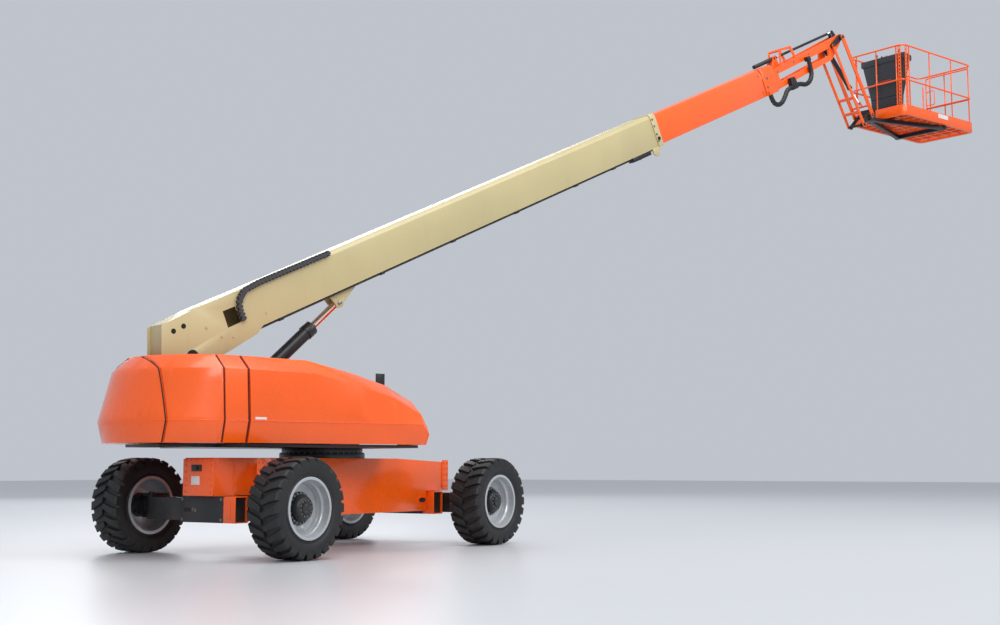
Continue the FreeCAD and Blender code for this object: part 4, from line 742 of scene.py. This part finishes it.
def addSlot(name, node, place, start, aim, length, height, rim=None):
    # a plate of painted shade with round ends, for the shaded inside of a slot, that lies on a node's face, with a
    # raised rim round it if rim is given
    local = onSurface(node, place, start, aim)
    low, proud, high = -slotSettings["sunk"], slotSettings["proud"], slotSettings["rimProud"]
    shape = bmesh.new()
    putPrism(shape, local, slotOutline(length, height), low, proud)
    finishShape(name, shape, "paintedGapShade", bodyOf[node], 0, 30)
    if rim:
        shape = bmesh.new()
        outer, inner = slotOutline(length + 2 * rim, height + 2 * rim), slotOutline(length, height)
        joinLoops(shape, [[shape.verts.new(local @ Vector((x, y, z))) for x, z in line]
                          for line, y in ((outer, low), (outer, high), (inner, high), (inner, low))])
        finishShape(name + "Rim", shape, "orangePaint", bodyOf[node], 0, 30)


# axle housings: slot, pins and corner bolts of each face, at Y (turned with the end) and Z
housingSettings = {"reach": 2, "slot": (-0.192, 0.444, 0.105, 0.036), "pins": ((-0.112, 0.447), (-0.078, 0.438)),
                   "corner": 0.262, "cornerRows": (0.352, 0.545)}


def makeHousingParts(cfg):
    y, z, length, height = cfg["slot"]
    for end, x in (("A", -1), ("B", 1)):
        node, start, aim = "axle_housing_end_" + end.lower(), x * cfg["reach"], (-x, 0, 0)
        # the housing's slot is a plate of painted shade
        addSlot("housingSlot" + end, node, ground, (start, x * y, z), aim, length, height)
        boltsOnto("housingPins" + end, node, ground, [(start, x * across, up) for across, up in cfg["pins"]], aim,
                  size=0.012, height=0.010)
        boltsOnto("housingBolts" + end, node, ground,
                  [(start, across, up) for across in (-cfg["corner"], cfg["corner"]) for up in cfg["cornerRows"]],
                  aim, size=0.010, height=0.006)


# axle sleeves: cover plates on the outer faces and the dark end of the beam's tail inside
sleeveSettings = {"middle": 1.524, "aside": 0.078, "outer": 0.088, "bore": 0.074, "endAt": (0.415, 0.421),
                  "cover": (0.322, 0.386), "coverTall": 0.078, "coverThick": 0.004, "wall": 0.010,
                  "height": 0.444}


def makeSleeveParts(cfg):
    for end, x in (("a", -1), ("b", 1)):
        body = bodyOf["axle_sleeves_end_" + end]
        low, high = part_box("axle_sleeves_end_" + end)
        covers, plugs = bmesh.new(), bmesh.new()
        for side in (-1, 1):
            middle = x * cfg["middle"] + side * cfg["aside"]
            left, right = sorted(middle + side * (cfg["outer"] + out) for out in (0, cfg["coverThick"]))
            near, far = sorted(side * y for y in cfg["cover"])
            putBox(covers, ground, (left, near, cfg["height"] - cfg["coverTall"]),
                   (right, far, cfg["height"] + cfg["coverTall"]))
            near, far = sorted(side * y for y in cfg["endAt"])
            putBox(plugs, ground, (middle - cfg["bore"], near, low[2] + cfg["wall"]),
                   (middle + cfg["bore"], far, high[2] - cfg["wall"]))
        finishShape("sleeveCovers_" + end, covers, "orangePaint", body, 0.001)
        finishShape("sleevePlugs_" + end, plugs, "blackPaint", body)


# hull sides: bolted strips, and slots with rims
sideSettings = {"face": 0.368, "proud": 0.007, "strips": ((1.610, 1.722), (-1.34, -1.23)),
                "stripZ": (0.600, 0.922), "boltX": (1.636, 1.696, -1.312, -1.256),
                "boltZ": (0.635, 0.700, 0.765, 0.830, 0.890),
                "slots": (("hullSlot", 1.248), ("hullSlotBack", -1.05)), "slotZ": 0.481,
                "slot": (0.120, 0.050, 0.006)}


def makeHullSides(cfg):
    low, high = cfg["stripZ"]
    for sideName, side in sides:
        shape = bmesh.new()
        near, far = sorted((side * cfg["face"], side * (cfg["face"] + cfg["proud"])))
        for x0, x1 in cfg["strips"]:
            putBox(shape, ground, (x0, near, low), (x1, far, high))
        finishShape("hullStrip" + sideName, shape, "orangePaint", "chassis", 0.002)
        spots = [((x, side * (cfg["face"] + cfg["proud"]), z), (0, side, 0))
                 for x in cfg["boltX"] for z in cfg["boltZ"]]
        boltsAt("hullBolts" + sideName, spots, "chassis", 0.009, 0.008, 1.5, "orangePaint")
        # each hull slot is a plate of painted shade inside an orange rim
        for name, x in cfg["slots"]:
            addSlot(name + sideName, "chassis_frame", ground, (x, side * 2, cfg["slotZ"]), (0, -side, 0),
                    *cfg["slot"])


makeNose(noseSettings)
makeHousingParts(housingSettings)
makeSleeveParts(sleeveSettings)
makeHullSides(sideSettings)
print("chassis details made")

# hoods: ribs along the crease, joints drawn as lines of painted shade, vents on the engine's side and the black tab
hoodSettings = {"creaseZ": 1.280, "ribRadius": 0.0035, "ribX": (-1.385, -0.9, -0.4, 0.0, 0.3, 0.5, 0.62),
                "tailX": (-1.420, -1.60, -1.72, -1.85, -1.97, -2.06, -2.14, -2.20), "jointRadius": 0.0065,
                "jointX": (-1.418, -1.672, -2.126),
                "jointHeights": (1.078, 1.18, 1.280, 1.44, 1.60, 1.765, 1.83, 1.896),
                "ventRows": 7, "ventX": -0.62, "ventZ": 1.42, "ventLength": 0.34, "ventPitch": 0.034,
                "vent": ((-0.002, -0.010), (0.009, -0.008), (-0.002, 0.010)),
                "tab": ((0.335, -0.505, 1.640), (0.444, -0.493, 1.822))}


def sideLine(name, node, spots, side, radius, finish):
    # a line over a node's side face through the given x and z
    points = [landed(node, tableFrame, (x, side * 2, z), (0, -side, 0))[0] for x, z in spots]
    linePiece(name, ground, points, radius, finish, bodyOf[node], 2)


def makeHoodParts(cfg):
    crease, tail = cfg["creaseZ"], "tail_counterweight"
    for name, side in (("near", -1), ("far", 1)):
        sideLine("rib_" + name, "hood_" + name, [(x, crease) for x in cfg["ribX"]], side, cfg["ribRadius"],
                 "orangePaint")
        sideLine("tailRib_" + name, tail, [(x, crease) for x in cfg["tailX"]], side, cfg["ribRadius"],
                 "orangePaint")
        # each joint is a thin line of painted shade laid over the gap between panels
        for i, x in enumerate(cfg["jointX"]):
            sideLine("joint%d_%s" % (i, name), tail, [(x, z) for z in cfg["jointHeights"]], side,
                     cfg["jointRadius"], "paintedGapShade")
    shape, half = bmesh.new(), cfg["ventLength"] / 2
    for i in range(cfg["ventRows"]):
        height = cfg["ventZ"] + i * cfg["ventPitch"]
        local = onSurface("hood_far", tableFrame, (cfg["ventX"], 2, height), (0, -1, 0))
        putPrism(shape, local @ turned(90, "Z"), cfg["vent"], -half, half)
    finishShape("vents", shape, "orangePaint", bodyOf["hood_far"], 0, 30)
    boxPiece("hoodTab", tableFrame, *cfg["tab"], "blackPaint", bodyOf["hood_near"], 0.002)


makeHoodParts(hoodSettings)
# blank labels: name, node, frame, start, aim, width, height, finish
labels = (("tailLabel", "hood_near", tableFrame, (-1.29, -2, 1.305), (0, 1, 0), 0.12, 0.022, "blankPlate"),
          ("kickLabel", "platform_floor", platformFrame, (1.221, -2, 0.125), (0, 1, 0), 0.270, 0.064, "blankPlate"),
          ("consoleLabel", "control_console", platformFrame, (-1, -0.08, 0.62), (1, 0, 0), 0.30, 0.012, "redKnob"))
labelSettings = {"sunk": 0.001, "thick": 0.0016}
for name, node, place, start, aim, width, tall, finish in labels:
    boxPiece(name, onSurface(node, place, start, aim), (-width / 2, -labelSettings["sunk"], -tall / 2),
             (width / 2, labelSettings["thick"], tall / 2), finish, bodyOf[node])
print("hood and tail details made")

# boom: rows of bolts on both sides, at places along and up, with their size, height, washer and finish
boltRows = (("cheekPins", "base_boom", ((0.259, 0.200), (0.381, 0.055), (0.501, 0.008), (0.950, 0.095)),
             0.011, 0.009, 1.5, "creamPaint"),
            # the cheek holes are flat discs of painted shade
            ("cheekHoles", "base_boom", ((-0.084, 0.298), (0.034, 0.304)), 0.022, 0.004, 1.2, "paintedGapShade"),
            ("mouthBolts", "base_boom", ((7.32, 0.060), (7.32, 0.150), (7.32, 0.260), (7.32, 0.350)),
             0.011, 0.007, 1.5, "plainSteel"),
            ("midBolts", "mid_boom", ((9.715, 0.080), (9.715, 0.320)), 0.010, 0.004, 1.3, "plainSteel"),
            ("headPins", "fly_boom", ((9.861, 0.120), (9.900, 0.240)), 0.014, 0.006, 1.5, "plainSteel"),
            ("nosePins", "fly_nose", ((10.225, 0.261), (10.66, 0.30), (11.05, 0.32)), 0.010, 0.005, 1.5,
             "plainSteel"))
# pipes: side and height of the first, step to the second, places along from its end; clamps and hooks
boomSettings = {"gap": ((7.338, 0.088), 0.058, 0.052), "pipeRadius": 0.011, "pipe": (-0.122, -0.030),
                "pipeStep": 0.028, "pipeX": ((0.60, 0.026), (0.63, 0.004), (0.67, 0), (1.0, 0), (3.0, 0), (5.0, 0),
                                             (6.56, 0), (6.82, 0), (6.86, 0.006), (6.88, 0.026)),
                "clampsAt": (1.10, 2.489, 3.571, 4.62, 5.683, 6.40), "clampHalf": 0.030, "clampTop": -0.010,
                # start, end, side beyond the pipes' low and high side, bottom
                "guides": ((6.767, 7.128, -0.030, 0.060, -0.070), (7.128, 7.284, 0.0, 0.040, -0.034)),
                "hook": ((7.160, -0.005), (7.156, -0.062), (7.172, -0.098), (7.205, -0.118), (7.240, -0.118),
                         (7.272, -0.098), (7.286, -0.060), (7.288, -0.005)), "hookSides": (0.150, 0.172)}


def makeBoomParts(cfg):
    for sideName, side in sides:
        for name, node, spots, size, height, washer, finish in boltRows:
            boltsOnto(name + sideName, node, boomFrame, [(s, side, n) for s, n in spots], (0, -side, 0),
                      size=size, height=height, washer=washer, finish=finish)
        # the gap at the base boom's mouth is a slot of painted shade
        (along, up), length, tall = cfg["gap"]
        addSlot("mouthGap" + sideName, "base_boom", boomFrame, (along, side, up), (0, -side, 0), length, tall)
    side, under = cfg["pipe"]
    for i in range(2):
        linePiece("boomPipe%d" % i, boomFrame,
                  [(along, side + i * cfg["pipeStep"], under + rise) for along, rise in cfg["pipeX"]],
                  cfg["pipeRadius"], "blackPaint", "base_boom_body")
    blocks = [(s - cfg["clampHalf"], s + cfg["clampHalf"], -0.020, 0.048, -0.046) for s in cfg["clampsAt"]]
    shape = bmesh.new()
    for start, end, low, high, bottom in (*blocks, *cfg["guides"]):
        putBox(shape, boomFrame, (start, side + low, bottom), (end, side + high, cfg["clampTop"]))
    finishShape("pipeClamps", shape, "blackPaint", "base_boom_body", 0.003)
    shape = bmesh.new()
    for hookSide in (-1, 1):
        putPrism(shape, boomFrame, cfg["hook"], *(hookSide * y for y in cfg["hookSides"]))
    finishShape("mouthHooks", shape, "creamPaint", "base_boom_body", 0.003)


makeBoomParts(boomSettings)

# boom pivot, cylinder and jib pins: keeper plates with two bolts, at X and Z of a frame
pinSettings = {"plate": (0.05084, 0.030, 0.006), "boltGap": 0.030, "socket": 0.062, "socketProud": 0.003}
keepers = (("pivot", "base_boom", tableFrame, layout["pivot"]), ("ramTop", "base_boom", boomFrame, (1.872, -0.144)),
           ("tip", "level_knuckle", levelFrame, (0, 0)), ("foot", "platform_bracket", footFrame, (0, 0)))


def makeKeepers(cfg):
    length, tall, thick = cfg["plate"]
    for stem, node, place, (x, z) in keepers:
        for sideName, side in sides:
            name, body = stem + sideName, bodyOf[node]
            local = onSurface(node, place, (x, side, z), (0, -side, 0))
            # the pivot's pin socket is a thin disc of painted shade
            if stem == "pivot":
                shape = bmesh.new()
                putRod(shape, local, (0, -0.002, 0), (0, cfg["socketProud"], 0), cfg["socket"], 40)
                finishShape("socket_" + name, shape, "paintedGapShade", body)
            shape = bmesh.new()
            putPrism(shape, local, slotOutline(length, tall), -0.001, thick)
            finishShape("keeper_" + name, shape, "plainSteel", body, 0.001)
            facing = local.to_3x3() @ Vector((0, 1, 0))
            boltsAt("keeperBolts_" + name, [(local @ Vector((gap / 2, thick, 0)), facing)
                                            for gap in (-cfg["boltGap"], cfg["boltGap"])], body, 0.0065, 0.006, 1.3)


makeKeepers(pinSettings)
# painted tie on the part of the levelling rod that never enters its barrel
tieSettings = {"from": 0.165, "short": 0.085, "radius": 0.0195, "start": (10.320, 0.452),
               "eyeReach": 0.045, "eyeRadius": 0.024}


def makeTie(cfg):
    # the rod's eye is where its points lie furthest along the boom
    spots = [boomFrame.inverted() @ v.co for v in frame["nodes"]["level_rod"].data.vertices]
    reach = max(p.x for p in spots)
    heights = [p.z for p in spots if p.x > reach - cfg["eyeReach"]]
    x, z = cfg["start"]
    run = Vector((reach - cfg["eyeRadius"] - x, 0, (min(heights) + max(heights)) / 2 - z))
    start, step = Vector((x, 0, z)), run.normalized()
    shape = bmesh.new()
    putRod(shape, boomFrame, start + step * cfg["from"], start + run - step * cfg["short"], cfg["radius"], 24)
    finishShape("levelTie", shape, "blackPaint", "level_rod_body", 0.002)


makeTie(tieSettings)
print("boom details made")

# platform: expanded deck, holed post, end loop with its latch, console fittings
deckSettings = {"low": (0.236, -0.464), "high": (2.068, 0.464), "top": 0.0425, "cell": (0.064, 0.029),
                "strand": 0.006, "strandLong": 0.0132, "thick": 0.003, "weave": 0.0002}


def deckTree():
    # diamonds of an expanded sheet on a grid of points
    tree, entry, leave = newTree("expandedDeck", ("Long", "Float", 1.0), ("Wide", "Float", 1.0),
                                 ("Columns", "Int", 10), ("Rows", "Int", 10))
    grid = addNode(tree, "GeometryNodeMeshGrid", links=[(socket, entry.outputs[name]) for socket, name in (
        ("Size X", "Long"), ("Size Y", "Wide"), ("Vertices X", "Columns"), ("Vertices Y", "Rows"))])
    return endWithCopies(tree, entry, leave, grid.outputs[0], entry.outputs["Geometry"])


def makeDeck(cfg):
    long, wide = (size / 2 for size in cfg["cell"])
    strand, strandLong, thick = cfg["strand"], cfg["strandLong"], cfg["thick"]
    shape = bmesh.new()
    outer = ((-long, 0), (0, -wide), (long, 0), (0, wide))
    inner = ((strandLong - long, 0), (0, strand - wide), (long - strandLong, 0), (0, wide - strand))
    joinLoops(shape, [[shape.verts.new((x, y, z)) for x, y in line]
                      for line, z in ((outer, 0), (outer, thick), (inner, thick), (inner, 0))])
    diamond = meshFrom(shape, "diamond", True)
    columns, rows = (int((high - low) / size) for low, high, size in zip(cfg["low"], cfg["high"], cfg["cell"]))
    tree, sheet = deckTree(), bmesh.new()
    for shift in (0, 1):
        mesh = treeMesh("deck%d" % shift, diamond.copy(), tree,
                        {"Long": (columns - 1 - shift) * 2 * long, "Wide": (rows - 1 - shift) * 2 * wide,
                         "Columns": columns - shift, "Rows": rows - shift, "Material": finishes["deckOrange"]})
        mesh.transform(Matrix.Translation((0, 0, cfg["weave"] * shift)))
        sheet.from_mesh(mesh)
    mesh = meshFrom(sheet, "deckSheet")
    middle = [(low + high) / 2 for low, high in zip(cfg["low"], cfg["high"])]
    mesh.transform(platformFrame @ Matrix.Translation((*middle, cfg["top"])))
    addPiece("deckSheet", mesh, "deckOrange", bodyOf["platform_floor"], 20)


makeDeck(deckSettings)
# loop, latch and post at the platform's end; the latch's and the post's places count from the loop's side
railSettings = {"endX": 2.069, "near": -0.442, "far": 0.330, "top": 1.077, "middle": 0.574, "turn": 0.09,
                "corner": 0.02, "loopRadius": 0.011, "latchRadius": 0.008, "postRadius": 0.012,
                "latch": ((0, 0.84), (-0.12, 0.86), (-0.150, 0.85), (-0.155, 0.80), (-0.155, 0.66),
                          (-0.150, 0.62), (-0.10, 0.615), (0, 0.63)),
                "post": ((0.06, 0.95), (0.06, 0.80), (0.06, 0.40), (0.06, 0.165))}


def makeRailParts(cfg):
    far, top, middle, turn, corner = (cfg[key] for key in ("far", "top", "middle", "turn", "corner"))
    loop = ((cfg["near"], top), (0, top), (far - turn, top), (far - corner, top), (far, top - corner),
            (far, top - turn), (far, 0.8), (far, middle + turn), (far, middle + corner), (far - corner, middle),
            (far - turn, middle), (0, middle), (cfg["near"], middle))
    latch, post = ([(far + past, z) for past, z in cfg[key]] for key in ("latch", "post"))
    for name, spots, radius in (("endLoop", loop, "loopRadius"), ("latchLoop", latch, "latchRadius"),
                                ("endPost", post, "postRadius")):
        linePiece(name, platformFrame, [(cfg["endX"], y, z) for y, z in spots], cfg[radius], "orangePaint",
                  bodyOf["platform_rails"])


makeRailParts(railSettings)
# place and turn of the two flanges of the corner post
holedSettings = {"width": 0.052, "pitch": 0.058, "hole": 0.015, "thick": 0.006, "from": 0.172, "to": 1.10,
                 "sides": 12, "flanges": (((0.262, -0.5095, 0), 0), ((0.191, -0.432, 0), -90))}


def holedCell(cfg):
    # one square of a perforated strip
    shape = bmesh.new()
    outer, inner = [], []
    for i in range(cfg["sides"]):
        angle = 2 * math.pi * (i + 0.5) / cfg["sides"]
        a, b = math.cos(angle), math.sin(angle)
        scale = 1 / max(abs(a) / (cfg["width"] / 2), abs(b) / (cfg["pitch"] / 2))
        outer.append((a * scale, b * scale))
        inner.append((a * cfg["hole"], b * cfg["hole"]))
    joinLoops(shape, [[shape.verts.new((x, y, z)) for x, z in line] for line, y in (
        (outer, 0), (outer, cfg["thick"]), (inner, cfg["thick"]), (inner, 0))])
    return meshFrom(shape, "holedCell", True)


def holedTree():
    # a row of holed squares, one above the other
    tree, entry, leave = newTree("holedStrip", ("Count", "Int", 10), ("Pitch", "Float", 0.05))
    offset = addNode(tree, "ShaderNodeCombineXYZ", links=(("Z", entry.outputs["Pitch"]),))
    line = addNode(tree, "GeometryNodeMeshLine",
                   links=(("Count", entry.outputs["Count"]), ("Offset", offset.outputs[0])))
    return endWithCopies(tree, entry, leave, line.outputs[0], entry.outputs["Geometry"])


def makeHoledPost(cfg):
    count = int((cfg["to"] - cfg["from"]) / cfg["pitch"])
    tree, cell, both = holedTree(), holedCell(cfg), bmesh.new()
    for spot, angle in cfg["flanges"]:
        mesh = treeMesh("holedStrip", cell.copy(), tree,
                        {"Count": count, "Pitch": cfg["pitch"], "Material": finishes["orangePaint"]})
        mesh.transform(Matrix.Translation(spot) @ turned(angle, "Z")
                       @ Matrix.Translation((0, 0, cfg["from"] + cfg["pitch"] / 2)))
        both.from_mesh(mesh)
    mesh = meshFrom(both, "holedPost")
    mesh.transform(platformFrame)
    addPiece("holedPost", mesh, "orangePaint", bodyOf["platform_rails"], 30)


makeHoledPost(holedSettings)
# console: rods of a joystick and of the stop button, from face, to face, radius at each, sides
consoleSettings = {"joysticks": ((0.36, -0.30), (0.36, 0.10)), "stop": (0.34, -0.10),
                   "joystick": ((-0.002, 0.022, 0.034, 24, 0.018), (0.020, 0.070, 0.009, 14, None),
                                (0.066, 0.098, 0.017, 18, 0.013)),
                   "stopButton": ((-0.002, 0.014, 0.012, 16, None), (0.013, 0.030, 0.026, 24, 0.023)),
                   "switches": (0.05, -0.06, 0.024, 6), "middle": -0.08, "seams": ((0.90, 0.3354), (0.36, 0.2418)),
                   "seam": (-0.002, 0.003, 0.004)}


def makeConsoleParts(cfg):
    node, body = "control_console", bodyOf["control_console"]
    fittings = [("joystick%d" % i, spot, "joystick", "blackPaint") for i, spot in enumerate(cfg["joysticks"])]
    fittings.append(("stopButton", cfg["stop"], "stopButton", "redKnob"))
    for name, spot, rods, finish in fittings:
        local = onSurface(node, platformFrame, (*spot, 2), (0, 0, -1), (1, 0, 0))
        shape = bmesh.new()
        for start, end, wide, count, narrow in cfg[rods]:
            putRod(shape, local, (0, start, 0), (0, end, 0), wide, count, narrow)
        finishShape(name, shape, finish, body, 0.002)
    x, z, step, count = cfg["switches"]
    facing = local.to_3x3() @ Vector((0, 1, 0))
    boltsAt("switches", [(local @ Vector((x, 0, z + step * i)), facing) for i in range(count)], body, 0.0065,
            0.016, 1.4, "blackPaint")
    # the console's seams are thin boxes of painted shade
    shape = bmesh.new()
    low, high, half = cfg["seam"]
    for z, reach in cfg["seams"]:
        place = onSurface(node, platformFrame, (-1, cfg["middle"], z), (1, 0, 0))
        putBox(shape, place, (-reach, low, -half), (reach, high, half))
    finishShape("consoleSeams", shape, "paintedGapShade", body)


makeConsoleParts(consoleSettings)
kickSettings = {"x": (0.40, 0.85, 1.55, 1.95), "z": 0.150}
for sideName, side in sides:
    boltsOnto("kickScrews" + sideName, "platform_floor", platformFrame,
              [(x, 2 * side, kickSettings["z"]) for x in kickSettings["x"]], (0, -side, 0), size=0.006, height=0.004)
print("platform details made")
